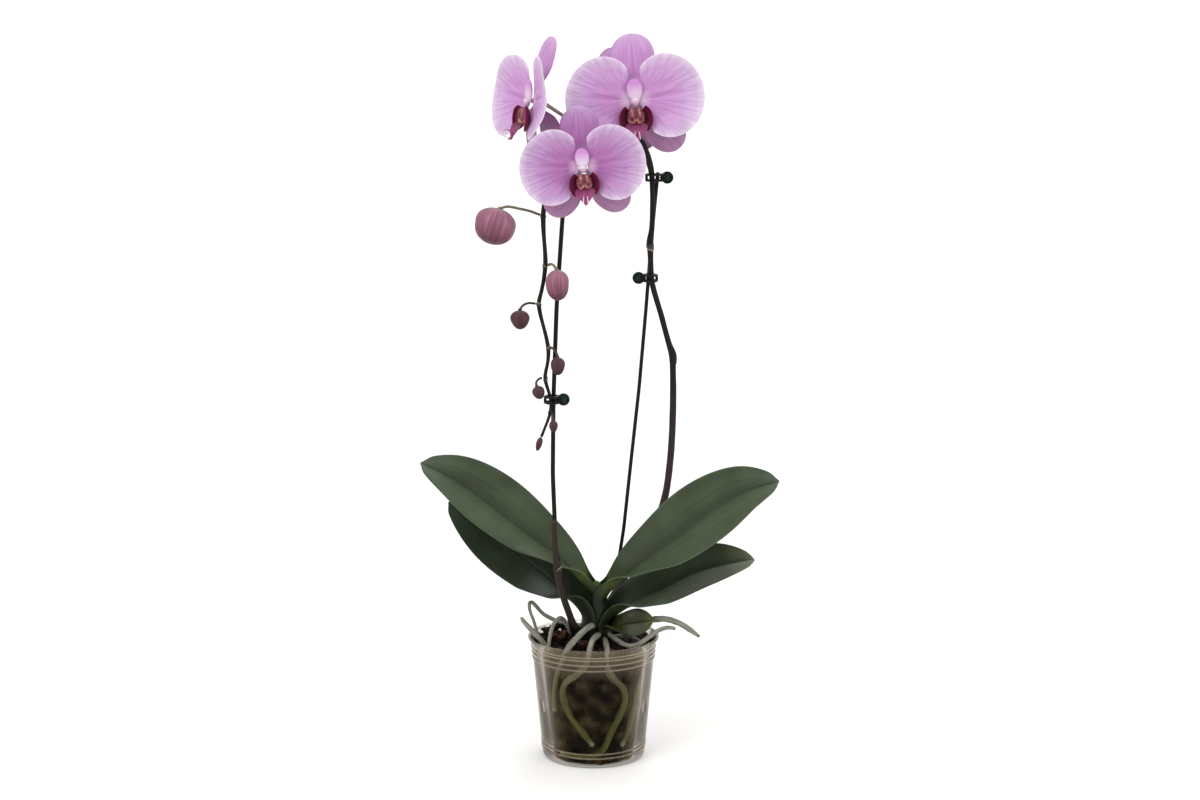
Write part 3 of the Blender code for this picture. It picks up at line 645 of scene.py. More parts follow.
def new_primitive(name: str, add: Callable, **settings: object) -> Object:
    """Add a primitive with nothing else selected, and name it.

    Args:
        name: the piece's name.
        add: the operator that adds it.
        settings: the operator's own settings.

    Returns:
        The new object.
    """
    bpy.ops.object.select_all(action="DESELECT")
    add(**settings)
    piece = bpy.context.active_object
    piece.name = name
    piece.data.name = name
    return piece


@contextmanager
def editing(piece: Object) -> Iterator[None]:
    """Work on a piece's whole mesh with Blender's mesh operators.

    Args:
        piece: a mesh object.

    Returns:
        A context, at whose end the piece leaves mesh editing.
    """
    activate(piece)
    bpy.ops.object.mode_set(mode="EDIT")
    bpy.ops.mesh.select_all(action="SELECT")
    yield
    bpy.ops.object.mode_set(mode="OBJECT")


def weld(piece: Object) -> None:
    """Merge points that meet at seams and poles, and turn every face outwards.

    Args:
        piece: a mesh object.
    """
    with editing(piece):
        bpy.ops.mesh.remove_doubles(threshold=2e-6)
        bpy.ops.mesh.normals_make_consistent(inside=False)


def apply_modifier(piece: Object, kind: str, **settings: object) -> None:
    """Give a piece a modifier and apply it.

    Args:
        piece: a mesh object.
        kind: the modifier's type.
        settings: its properties.
    """
    modifier = piece.modifiers.new(kind.lower(), kind)
    for name, value in settings.items():
        setattr(modifier, name, value)
    activate(piece)
    bpy.ops.object.modifier_apply(modifier=modifier.name)


def mould(name: str, columns: int, rows: int, shape: Shape) -> Object:
    """Add a grid and move its points onto a curved surface, keeping its UV map.

    Args:
        name: the piece's name.
        columns: faces across.
        rows: faces along.
        shape: gives a point in millimetres for across (-1 to 1) and along (0 to 1).

    Returns:
        The moulded sheet.
    """
    sheet = new_primitive(name, bpy.ops.mesh.primitive_grid_add, x_subdivisions=columns,
                          y_subdivisions=rows, size=2.0, calc_uvs=True)
    for vertex in sheet.data.vertices:
        vertex.co = shape(vertex.co.x, 0.5 + 0.5 * vertex.co.y) * MM
    return sheet


def thicken(piece: Object, thickness: float, levels: int = 1, back: int = 0, rim: int = 0) -> None:
    """Give a sheet its thickness and rounded edges.

    Args:
        piece: the sheet.
        thickness: in millimetres.
        levels: subdivisions that round the rim.
        back: material slots from the front face to the back face.
        rim: material slots from the front face to the rim.
    """
    apply_modifier(piece, "SOLIDIFY", thickness=thickness * MM, offset=0.0, material_offset=back,
                   material_offset_rim=rim)
    if levels:
        apply_modifier(piece, "SUBSURF", levels=levels, render_levels=levels)


def flip(piece: Object) -> None:
    """Turn a sheet's faces the other way.

    Args:
        piece: a mesh object.
    """
    with editing(piece):
        bpy.ops.mesh.flip_normals()


def dress(piece: Object, finishes: Sequence[Finish], nodes: Sequence[str]) -> Object:
    """Smooth a piece, give it its finishes, and let it ride in place of its solids.

    Args:
        piece: the finished mesh object.
        finishes: one finish per material slot of the mesh.
        nodes: names of the solids that it stands for.

    Returns:
        The same piece.
    """
    activate(piece)
    bpy.ops.object.shade_smooth()
    for finish in finishes:
        piece.data.materials.append(finish.material())
    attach(piece, "root")
    if nodes:
        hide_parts(*nodes)
    LOG.info("%s: %d faces", piece.name, len(piece.data.polygons))
    return piece


def join(name: str, pieces: Sequence[Object]) -> Object:
    """Join pieces into one object.

    Args:
        name: the joined object's name.
        pieces: mesh objects; the first keeps its place.

    Returns:
        The joined object.
    """
    activate(pieces[0])
    for piece in pieces:
        piece.select_set(True)
    bpy.ops.object.join()
    joined = bpy.context.active_object
    joined.name = name
    joined.data.name = name
    return joined


def settle(piece: Object) -> None:
    """Move a piece's place, turn and size into its mesh.

    Args:
        piece: a mesh object.
    """
    activate(piece)
    bpy.ops.object.transform_apply(location=True, rotation=True, scale=True)


# ---------------------------------------------------------------- centre lines

def end_rings(mesh: bmesh.types.BMesh) -> list[set]:
    """Find the rings of points round the flat ends of a round solid.

    Args:
        mesh: the solid, with its doubled points merged.

    Returns:
        One set of points for each end.
    """
    rings = []
    seen = set()
    for face in mesh.faces:
        if face in seen:
            continue
        patch, waiting = [], [face]
        seen.add(face)
        while waiting:
            found = waiting.pop()
            patch.append(found)
            for edge in found.edges:
                for other in edge.link_faces:
                    if other not in seen and other.normal.dot(face.normal) > 0.99999:
                        seen.add(other)
                        waiting.append(other)
        ring = {vertex for part in patch for vertex in part.verts}
        centre = sum((vertex.co for vertex in ring), Vector()) / len(ring)
        reaches = [(vertex.co - centre).length for vertex in ring]
        if len(ring) >= 8 and max(reaches) < 1.08 * min(reaches):
            rings.append(ring)
    return rings


def read_rings(node: str) -> list[tuple[Vector, float]]:
    """Read the centre and radius of each ring of a round solid, from one end to the other.

    Args:
        node: the solid's name.

    Returns:
        Centres and radii in millimetres.
    """
    mesh = bmesh.new()
    mesh.from_mesh(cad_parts[node].data)
    bmesh.ops.remove_doubles(mesh, verts=mesh.verts, dist=1e-6)
    mesh.normal_update()
    ring = end_rings(mesh)[0]
    seen, rings = set(ring), []
    while ring:
        centre = sum((vertex.co for vertex in ring), Vector()) / len(ring)
        radius = sum((vertex.co - centre).length for vertex in ring) / len(ring)
        rings.append((centre / MM, radius / MM))
        ring = {edge.other_vert(vertex) for vertex in ring for edge in vertex.link_edges} - seen
        seen |= ring
    mesh.free()
    return rings


@dataclass(frozen=True)
class Station:
    """One place on a centre line: its point, directions and radius, in millimetres."""

    centre: Vector
    ahead: Vector
    side: Vector
    up: Vector
    radius: float

    def around(self, turn: float) -> Vector:
        """The direction outwards at an angle round the line."""
        return math.cos(turn) * self.side + math.sin(turn) * self.up


class Route:
    """A smooth centre line through the rings of a round solid."""

    STEP = 1.0                  # millimetres between samples

    def __init__(self, rings: Sequence[tuple[Vector, float]], smoothing: int = 8) -> None:
        """Sample the rings evenly and smooth their corners.

        Args:
            rings: centres and radii in millimetres.
            smoothing: passes of averaging with the neighbours.
        """
        known = np.array([[*centre, radius] for centre, radius in rings])
        strides = np.linalg.norm(np.diff(known[:, :3], axis=0), axis=1)
        reach = np.concatenate([[0.0], np.cumsum(strides)])
        self.length = float(reach[-1])
        count = max(int(self.length / self.STEP), 12)
        at = np.linspace(0, self.length, count + 1)
        fine = np.stack([np.interp(at, reach, known[:, k]) for k in range(4)], axis=1)
        for _ in range(smoothing):
            fine[1:-1] = 0.25 * fine[:-2] + 0.5 * fine[1:-1] + 0.25 * fine[2:]
        self.samples = fine
        ahead = np.gradient(fine[:, :3], axis=0)
        self.ahead = [Vector(step).normalized() for step in ahead]
        side = self.ahead[0].orthogonal().normalized()
        self.sides = []
        for direction in self.ahead:
            side = (side - direction * side.dot(direction)).normalized()
            self.sides.append(side.copy())

    def at(self, reach: float) -> Station:
        """The station at a distance along the line.

        Args:
            reach: millimetres from the start.

        Returns:
            The station there.
        """
        place = min(max(reach / self.length, 0.0), 1.0) * (len(self.samples) - 1)
        low = min(int(place), len(self.samples) - 2)
        part = place - low
        mixed = (1 - part) * self.samples[low] + part * self.samples[low + 1]
        ahead = self.ahead[low].lerp(self.ahead[low + 1], part).normalized()
        side = self.sides[low].lerp(self.sides[low + 1], part)
        side = (side - ahead * side.dot(ahead)).normalized()
        return Station(Vector(mixed[:3]), ahead, side, ahead.cross(side), float(mixed[3]))

    def nearest(self, point: Vector) -> tuple[float, float]:
        """How far along the line its sample nearest to a point lies, and how far off it is.

        Args:
            point: in millimetres.

        Returns:
            The reach along the line and the distance from the point.
        """
        gaps = np.linalg.norm(self.samples[:, :3] - np.array(point), axis=1)
        index = int(gaps.argmin())
        return index / (len(self.samples) - 1) * self.length, float(gaps[index])


def stem(name: str, route: Route, around: int, spacing: float, start: float = 0.0,
         end: float | None = None, girth: Callable[[float, float], float] | None = None) -> Object:
    """Model a round stem along a route, closed by a rounded cap at each end.

    Args:
        name: the piece's name.
        route: its centre line.
        around: faces round it.
        spacing: millimetres between its rings.
        start: where on the route it starts, in millimetres.
        end: where it ends, or None for the route's end.
        girth: multiplies the radius, given the reach along the route and the angle round it.

    Returns:
        The stem.
    """
    end = route.length if end is None else end
    caps = 4
    body = max(int((end - start) / spacing), 6)
    rows = body + 2 * caps
    first, last = route.at(start).radius, route.at(end).radius

    def shape(across: float, along: float) -> Vector:
        """Where a point of the stem lies.

        Args:
            across: -1 to 1, once round it.
            along: 0 to 1, from its start to its end.

        Returns:
            The point, in millimetres.
        """
        row = round(along * rows)
        near, far = min(row / caps, 1.0), min((rows - row) / caps, 1.0)
        shrink = math.sin(0.5 * math.pi * near) * math.sin(0.5 * math.pi * far)
        inner_start, inner_end = start + 0.5 * first, end - 0.5 * last
        if near < 1:
            reach = start + 0.5 * first * (1 - math.cos(0.5 * math.pi * near))
        elif far < 1:
            reach = end - 0.5 * last * (1 - math.cos(0.5 * math.pi * far))
        else:
            reach = inner_start + (inner_end - inner_start) * (row - caps) / body
        station = route.at(reach)
        turn = math.pi * (across + 1)
        radius = station.radius * shrink * (girth(reach, turn) if girth else 1.0)
        return station.centre + radius * station.around(turn)

    piece = mould(name, around, rows, shape)
    weld(piece)
    return piece


# ---------------------------------------------------------------- pot

@dataclass
class Pot:
    """The clear nursery pot: a lathe-shaped wall with rings, cut by air slits and drain holes."""

    wall: float = 1.1
    floor: float = 1.4
    taper: float = 0.096
    foot_radius: float = 47.1
    corner: float = 3.6
    band: float = 7.0
    ring_proud: float = 0.85        # how far a ring near the rim stands out
    foot_proud: float = 0.5         # how far a ring at the foot, or the band, stands out
    rings: tuple[float, ...] = (103.5, 98.7, 93.7)
    foot_rings: tuple[float, ...] = (13.5, 9.5)
    sides: int = 120
    slits: int = 8
    slit: tuple[float, float] = (1.5, 11.0)
    slit_height: float = 50.0
    drains: int = 8
    drain_radius: float = 3.6
    drain_circle: float = 31.0
    height: float = field(init=False)
    rim: float = field(init=False)

    def __post_init__(self) -> None:
        """Take the height and the rim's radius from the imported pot."""
        low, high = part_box("pot")
        self.height = high.z / MM
        self.rim = (high.x - low.x) / 2 / MM

    def wall_radius(self, height: float) -> float:
        """Outer radius of the plain wall at a height."""
        return self.foot_radius + self.taper * height

    def outside(self) -> list[tuple[float, float]]:
        """The outer profile, from the foot up to the lip, as radii and heights.

        Returns:
            The profile, in millimetres.
        """
        points = [(self.wall_radius(0) - self.corner, 0.0)]
        for step in range(1, 6):
            turn = 0.5 * math.pi * step / 6
            points.append((self.wall_radius(0) - self.corner + self.corner * math.sin(turn),
                           self.corner * (1 - math.cos(turn))))
        ridges = sorted((*self.foot_rings, *self.rings))
        points.append((self.wall_radius(self.corner), self.corner))
        for height in ridges:
            proud = self.ring_proud if height in self.rings else self.foot_proud
            for lift, share in ((-0.9, 0.0), (-0.6, 0.8), (0.0, 1.0), (0.6, 0.8), (0.9, 0.0)):
                points.append((self.wall_radius(height + lift) + proud * share, height + lift))
        foot = self.height - self.band
        points += [
            (self.wall_radius(foot) + self.foot_proud, foot),
            (self.rim - 1.5, self.height - 2.4),
            (self.rim - 0.25, self.height - 1.9),
            (self.rim, self.height - 1.2),
            (self.rim - 0.2, self.height - 0.3),
            (self.rim - 0.8, self.height),
        ]
        return points

    def inside(self) -> list[tuple[float, float]]:
        """The inner profile, from the lip down to the floor.

        Returns:
            The profile, in millimetres.
        """
        foot = self.height - self.band
        points = [(self.rim - 1.8, self.height), (self.rim - 2.3, self.height - 0.5),
                  (self.rim - 1.6 - self.wall, self.height - 1.6),
                  (self.wall_radius(foot) - self.wall, foot)]
        for height in sorted(self.rings, reverse=True):
            points.append((self.wall_radius(height) - self.wall, height))
        points.append((self.wall_radius(self.corner) - self.wall, self.floor + self.corner))
        for step in range(1, 6):
            turn = 0.5 * math.pi * (1 - step / 6)
            radius = self.wall_radius(0) - self.corner - self.wall + self.corner * math.sin(turn)
            points.append((radius, self.floor + self.corner * (1 - math.cos(turn))))
        points.append((self.wall_radius(0) - self.corner - self.wall, self.floor))
        return points

    def turn_up(self) -> Object:
        """Raise the wall ring by ring from a disc, over the lip and down to the inner floor.

        Returns:
            The wall, not yet cut.
        """
        profile = self.outside() + self.inside() + [(20.0, self.floor)]
        radius, height = profile[0]
        piece = new_primitive("clear_pot", bpy.ops.mesh.primitive_circle_add, vertices=self.sides,
                              radius=radius * MM, fill_type="TRIFAN", location=(0, 0, height * MM))
        settle(piece)
        activate(piece)
        bpy.ops.object.mode_set(mode="EDIT")
        bpy.ops.mesh.select_mode(type="EDGE")
        bpy.ops.mesh.select_all(action="DESELECT")
        bpy.ops.mesh.select_non_manifold()
        for next_radius, next_height in profile[1:]:
            lift = (0, 0, (next_height - height) * MM)
            bpy.ops.mesh.extrude_edges_move(TRANSFORM_OT_translate={"value": lift})
            scale = next_radius / radius
            bpy.ops.transform.resize(value=(scale, scale, 1), center_override=(0, 0, next_height * MM))
            radius, height = next_radius, next_height
        bpy.ops.mesh.extrude_edges_move(TRANSFORM_OT_translate={"value": (0, 0, 0)})
        bpy.ops.mesh.merge(type="CENTER")
        bpy.ops.object.mode_set(mode="OBJECT")
        weld(piece)
        return piece

    def cutters(self) -> Object:
        """Blocks for the air slits and rods for the drain holes, joined in one cutter.

        Returns:
            The cutter.
        """
        parts = []
        for index in range(self.slits):
            turn = 2 * math.pi * (index + 0.5) / self.slits
            reach = self.wall_radius(self.slit_height) * MM
            parts.append(new_primitive(
                "slit", bpy.ops.mesh.primitive_cube_add, size=MM,
                location=(reach * math.cos(turn), reach * math.sin(turn), self.slit_height * MM),
                rotation=(0, 0, turn), scale=(8 * self.wall, *self.slit)))
        for index in range(self.drains):
            turn = 2 * math.pi * (index + 0.5) / self.drains
            reach = self.drain_circle * MM
            parts.append(new_primitive(
                "drain", bpy.ops.mesh.primitive_cylinder_add, vertices=24, radius=self.drain_radius * MM,
                depth=6 * self.floor * MM, location=(reach * math.cos(turn), reach * math.sin(turn), 0)))
        return join("pot_cutters", parts)

    def build(self) -> Object:
        """Model, cut and dress the pot.

        Returns:
            The pot.
        """
        piece = self.turn_up()
        cutter = self.cutters()
        apply_modifier(piece, "BOOLEAN", operation="DIFFERENCE", solver="EXACT", object=cutter)
        bpy.data.objects.remove(cutter)
        # Heights where the plastic is thicker and lighter haze is painted as the rings' highlights.
        haze_and_highlight_heights = (*self.rings, *self.foot_rings, self.height - self.band)
        dress(piece, [ClearPlastic(rings=haze_and_highlight_heights)], ["pot"])
        bpy.ops.object.shade_smooth_by_angle(angle=math.radians(35))
        return piece


# ---------------------------------------------------------------- roots and bark

@dataclass
class Roots:
    """Thick aerial roots, lumpy and slightly flattened, as their solids lie."""

    names: tuple[str, ...] = (
        "root_front_left", "root_front_centre", "root_front_right", "root_right_loop",
        "root_right_over_rim", "root_right_wall", "root_left_loop", "root_left_over_rim", "root_arch",
    )
    dark_tip: str = "root_right_over_rim"
    shrinkage: float = 0.15     # how much thinner than its solid a root is where it is dry
    dry_from: float = 90.0      # the height from which roots are drier
    dry_rise: float = 20.0      # how far above it they are wholly dry
    around: int = 20
    spacing: float = 1.1
    routes: dict[str, Route] = field(default_factory=dict)

    def build_one(self, name: str, seed: int) -> Object:
        """Model and dress one root.

        Args:
            name: its solid's name.
            seed: tells its lumps from the others'.

        Returns:
            The root.
        """
        rings = read_rings(name)
        crown = Vector(CROWN_AT)
        if (rings[0][0].xy - crown).length > (rings[-1][0].xy - crown).length:
            rings.reverse()
        route = Route(rings)
        self.routes[name] = route

        def girth(reach: float, turn: float) -> float:
            """How thick the root is, against its solid.

            Args:
                reach: millimetres along its route.
                turn: the angle round it.

            Returns:
                A factor for the radius.
            """
            dry = min(max((route.at(reach).centre.z - self.dry_from) / self.dry_rise, 0.0), 1.0)
            swell = noise.noise(Vector((reach * 0.09, seed * 7.3, 0.0)))
            lumps = noise.noise(Vector((reach * 0.3, 1.3 * math.cos(turn), 1.3 * math.sin(turn) + seed)))
            return 1.0 - self.shrinkage * dry + 0.12 * swell + 0.09 * lumps

        piece = stem(f"{name}.velamen", route, self.around, self.spacing, girth=girth)
        skin = RootSkin(tip="1E1A16") if name == self.dark_tip else RootSkin()
        return dress(piece, [skin], [name])

    def build(self) -> list[Object]:
        """Model and dress every root.

        Returns:
            The roots.
        """
        return [self.build_one(name, seed) for seed, name in enumerate(self.names)]


@dataclass
class Bark:
    """The bark filling: a dark core, chips lying on top and chips pressed against the wall."""

    pot: Pot
    roots: Roots
    core_inset: float = 4.0
    core_drop: float = 1.6
    top_chips: int = 300
    wall_chips: int = 340
    kinds: int = 6
    top: float = 104.5          # height of the filling's top
    spread: float = 53.0        # how far out the top chips lie
    heap: float = 2.2           # how much higher they lie against the back wall
    wall_tries: int = 6000
    clearance: float = 0.35     # between a chip and the wall

    def chip_kinds(self, chance: random.Random) -> list[Object]:
        """Model a few chips: bevelled slabs with knocked-about corners.

        Args:
            chance: the seeded source of their shapes.

        Returns:
            The chips, at the origin.
        """
        kinds = []
        for index in range(self.kinds):
            size = [chance.uniform(7, 13), chance.uniform(5, 9), chance.uniform(2.2, 4.2)]
            chip = new_primitive(f"chip_kind_{index}", bpy.ops.mesh.primitive_cube_add, size=MM, scale=size)
            settle(chip)
            with editing(chip):
                bpy.ops.mesh.bevel(offset=0.9 * MM, segments=1)
                bpy.ops.mesh.subdivide(number_cuts=1)
                bpy.ops.transform.vertex_random(offset=0.5 * MM, uniform=0.3, normal=0.2, seed=index + 3)
            kinds.append(chip)
        return kinds

    def clear_of_roots(self, point: Vector, room: float) -> bool:
        """Whether a chip's centre keeps away from every root.

        Args:
            point: the chip's centre, in millimetres.
            room: the distance to keep from a root's surface.

        Returns:
            True if nothing is too near.
        """
        for route in self.roots.routes.values():
            reach, gap = route.nearest(point)
            if gap < route.at(reach).radius + room:
                return False
        return True

    def surface_height(self, x: float, y: float) -> float:
        """Height of the filling's top at a place, in millimetres.

        Args:
            x: across the pot, in millimetres.
            y: from front to back, in millimetres.

        Returns:
            The height.
        """
        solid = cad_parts["potting_bark"]
        hit, place, _, _ = solid.ray_cast(Vector((x * MM, y * MM, 0.2)), Vector((0, 0, -1)))
        return place.z / MM if hit else 0.0

    def scatter(self, name: str, kinds: Sequence[Object], places: Sequence[Matrix],
                chance: random.Random) -> Object:
        """Copy chips to their places, each with its own mesh, and join them.

        Args:
            name: the joined object's name.
            kinds: the chips to copy.
            places: where each copy lies.
            chance: the seeded source of their sizes.

        Returns:
            All the chips as one object.
        """
        copies = []
        for place in places:
            source = chance.choice(kinds)
            copy = bpy.data.objects.new(name, source.data.copy())
            bpy.context.collection.objects.link(copy)
            copy.data.transform(place @ Matrix.Scale(chance.uniform(0.7, 1.15), 4))
            self.keep_inside(copy, self.clearance + chance.uniform(0, 2))
            copies.append(copy)
        return join(name, copies)

    def keep_inside(self, piece: Object, clearance: float) -> None:
        """Press every point of a chip inside the pot's wall.

        Args:
            piece: the chip.
            clearance: how far to keep from the wall, in millimetres.
        """
        for vertex in piece.data.vertices:
            height = max(vertex.co.z / MM, self.pot.floor + clearance)
            vertex.co.z = height * MM
            limit = (self.pot.wall_radius(height) - self.pot.wall - clearance) * MM
            reach = math.hypot(vertex.co.x, vertex.co.y)
            if reach > limit:
                vertex.co.x *= limit / reach
                vertex.co.y *= limit / reach

    def build(self) -> list[Object]:
        """Model and dress the core and both layers of chips.

        Returns:
            The pieces.
        """
        chance = random.Random(7)
        kinds = self.chip_kinds(chance)
        top_places = []
        while len(top_places) < self.top_chips:
            turn, reach = chance.uniform(0, 2 * math.pi), self.spread * math.sqrt(chance.random())
            x, y = reach * math.cos(turn), reach * math.sin(turn)
            heap = self.heap * max(math.sin(turn), 0.0) * (reach / self.spread) ** 2
            place = Vector((x, y, self.surface_height(x, y) + heap + chance.uniform(-1.5, 2.5)))
            tilt = Euler((chance.gauss(0, 0.45), chance.gauss(0, 0.45), chance.uniform(0, 6.3)))
            if self.clear_of_roots(place, 1.0):
                top_places.append(Matrix.Translation(place * MM) @ tilt.to_matrix().to_4x4())
        wall_places = []
        tries = 0
        while len(wall_places) < self.wall_chips and tries < self.wall_tries:
            tries += 1
            turn, height = chance.uniform(0, 2 * math.pi), chance.uniform(4, 104)
            depth = chance.uniform(1.5, 5.5)
            reach = self.pot.wall_radius(height) - self.pot.wall - depth
            place = Vector((reach * math.cos(turn), reach * math.sin(turn), height))
            facing = Euler((0, math.pi / 2 - 0.1, turn)).to_matrix()
            spin = Euler((chance.gauss(0, 0.12), chance.gauss(0, 0.12), chance.uniform(0, 6.3))).to_matrix()
            if self.clear_of_roots(place, 2.5):
                wall_places.append(Matrix.Translation(place * MM) @ (facing @ spin).to_4x4())
        top = self.scatter("bark_chips_top", kinds, top_places, chance)
        damp = self.scatter("bark_chips_wall", kinds, wall_places, chance)
        for piece in (top, damp):
            weld(piece)
        dress(top, [BarkSkin()], [])
        dress(damp, [BarkSkin(shade="damp")], [])
        for kind in kinds:
            bpy.data.objects.remove(kind)
        return [self.core(), top, damp]

    def core(self) -> Object:
        """The dark heart of the filling, behind the chips.

        Returns:
            The core.
        """
        low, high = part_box("potting_bark")
        bottom, top = low.z / MM, self.top - self.core_drop
        profile = [(0.02, top), (self.pot.wall_radius(top) - self.core_inset - 1, top),
                   (self.pot.wall_radius(top) - self.core_inset, top - 2),
                   (self.pot.wall_radius(bottom) - self.core_inset - 1, bottom + 3),
                   (self.pot.wall_radius(bottom) - self.core_inset - 4, bottom), (0.02, bottom)]

        def shape(across: float, along: float) -> Vector:
            """Where a point of the core lies.

            Args:
                across: -1 to 1, once round it.
                along: 0 to 1, along its profile from the top down.

            Returns:
                The point, in millimetres.
            """
            place = along * (len(profile) - 1)
            index = min(int(place), len(profile) - 2)
            part = place - index
            radius = profile[index][0] * (1 - part) + profile[index + 1][0] * part
            height = profile[index][1] * (1 - part) + profile[index + 1][1] * part
            turn = math.pi * (across + 1)
            lump = 1 + 0.03 * noise.noise(Vector((3 * math.cos(turn), 3 * math.sin(turn), height / 9)))
            return Vector((radius * lump * math.cos(turn), radius * lump * math.sin(turn), height))

        piece = mould("bark_core", 72, 60, shape)
        weld(piece)
        return dress(piece, [BarkSkin(shade="damp")], ["potting_bark"])


# ---------------------------------------------------------------- stems, stakes and clips

@dataclass
class Stems:
    """The flower spike with its nodes and bracts, the cut-back stub and the crown."""

    around: int = 20
    bract_length: float = 6.5
    nodes: tuple = ((73.3, 27, 366), (51.2, 20, 471))       # bracts on the bare part of the spike
    stub_node: tuple = (-32.6, -43, 184)
    cut_depth: float = 2.2      # how far below its top the stub is cut
    cut_facing: tuple = (-0.55, -0.2, 0.8)
    spike: Route = field(init=False)
    stub: Route = field(init=False)
    crown: Route = field(init=False)

    def __post_init__(self) -> None:
        """Read the stems' centre lines from their solids."""
        self.spike = Route(self.upwards("flower_spike"), smoothing=14)
        self.stub = Route(self.upwards("spike_stub"), smoothing=14)
        self.crown = Route(self.upwards("crown_stem"), smoothing=6)

    def upwards(self, node: str) -> list[tuple[Vector, float]]:
        """Rings of a solid, from its end in the pot to its free end.

        Args:
            node: the solid's name.

        Returns:
            Centres and radii.
        """
        rings = read_rings(node)
        in_pot = min(rings, key=lambda ring: ring[0].z if node == "crown_stem" else ring[0].xy.length)
        if rings.index(in_pot) > len(rings) / 2:
            rings.reverse()
        return rings

    def bract(self, name: str, route: Route, reach: float, turn: float, length: float) -> Object:
        """A papery scale that wraps half round the stem at a node and points along it.

        Args:
            name: the bract's name.
            route: the stem's centre line.
            reach: where the bract sits on it.
            turn: which side of the stem it is on.
            length: in millimetres.

        Returns:
            The bract.
        """
        def shape(across: float, along: float) -> Vector:
            """Where a point of the bract lies.

            Args:
                across: -1 to 1, from edge to edge.
                along: 0 to 1, from its base to its tip.

            Returns:
                The point, in millimetres.
            """
            tip = along * (1 - 0.55 * abs(across) ** 1.5)
            station = route.at(reach + tip * length - 1.0)
            angle = turn + across * 2.6 * (1 - 0.25 * along)
            lift = 0.25 + 0.55 * tip ** 2
            return station.centre + station.around(angle) * (station.radius + lift)

        piece = mould(name, 20, 8, shape)
        thicken(piece, 0.35)
        return piece

    def build_spike(self) -> Object:
        """The rising, arching and hanging spike, swollen a little at its nodes.

        Returns:
            The spike.
        """
        def girth(reach: float, turn: float) -> float:
            """How thick the spike is, against its solid.

            Args:
                reach: millimetres along its route.
                turn: the angle round it.

            Returns:
                A factor for the radius.
            """
            ridge = 0.035 * math.cos(3 * turn + reach * 0.01)
            tail = 0.16 * min(max(reach / self.spike.length - 0.62, 0.0) * 8, 1.0)
            return 1.0 + tail + ridge + 0.05 * noise.noise(Vector((reach * 0.06, 2.0, 5.0)))

        piece = stem("flower_spike.bark", self.spike, self.around, 2.2, girth=girth)
        return dress(piece, [StemSkin()], ["flower_spike"])

    def build_bracts(self) -> Object:
        """Bracts at the spike's nodes, where each flower or bud stalk leaves, and on the stub.

        Returns:
            The bracts.
        """
        parts = []
        for index, point in enumerate(self.nodes):
            reach, _ = self.spike.nearest(Vector(point))
            parts.append(self.bract(f"bract_{index}", self.spike, reach, 2.0 + 2.4 * index,
                                    self.bract_length))
        for index in range(1, 7):
            foot = read_rings(f"bud_{index}")
            ends = [self.spike.nearest(foot[0][0]), self.spike.nearest(foot[-1][0])]
            reach = min(ends, key=lambda end: end[1])[0]
            parts.append(self.bract(f"bract_bud_{index}", self.spike, reach - 1.5, 1.2 * index, 3.6))
        reach, _ = self.stub.nearest(Vector(self.stub_node))
        parts.append(self.bract("bract_stub", self.stub, reach, 3.6, 5.0))
        return dress(join("bracts", parts), [BractSkin()], [])

    def build_stub(self) -> Object:
        """The cut-back spike, its top cut on a slant.

        Returns:
            The stub.
        """
        piece = stem("spike_stub.bark", self.stub, self.around, 2.0)
        top = self.stub.at(self.stub.length).centre * MM
        with editing(piece):
            bpy.ops.mesh.bisect(plane_co=top - Vector((0, 0, self.cut_depth * MM)), plane_no=self.cut_facing,
                                use_fill=True, clear_outer=True)
        skin = StemSkin(base="171210", end="2F2519", turn_at=0.1)
        dress(piece, [skin], ["spike_stub"])
        bpy.ops.object.shade_smooth_by_angle(angle=math.radians(40))
        return piece

    def build_crown(self) -> Object:
        """The crown: sheaths of old leaves wrapped one over another.

        Returns:
            The crown.
        """
        def girth(reach: float, turn: float) -> float:
            """How thick the crown is, against its solid.

            Args:
                reach: millimetres along its route.
                turn: the angle round it.

            Returns:
                A factor for the radius.
            """
            step = 0.07 * (1 - (reach / 11.0) % 1.0)
            ridges = 0.045 * math.cos(2 * turn) + 0.03 * math.cos(7 * turn + reach * 0.2)
            return 1.0 + step + ridges

        piece = stem("crown_stem.sheath", self.crown, 36, 1.0, girth=girth)
        return dress(piece, [CrownSkin()], ["crown_stem"])

    def build(self) -> list[Object]:
        """Model and dress the stems.

        Returns:
            The pieces.
        """
        return [self.build_spike(), self.build_bracts(), self.build_stub(), self.build_crown()]


@dataclass
class Stakes:
    """Two thin rods with a black coating and rounded ends."""

    names: tuple[str, ...] = ("stake_left", "stake_right")
    routes: dict[str, Route] = field(default_factory=dict)

    def build(self) -> list[Object]:
        """Model and dress both stakes.

        Returns:
            The stakes.
        """
        pieces = []
        for name in self.names:
            self.routes[name] = Route(read_rings(name), smoothing=40)
            piece = stem(f"{name}.rod", self.routes[name], 16, 6.0)
            pieces.append(dress(piece, [Coated()], [name]))
        return pieces


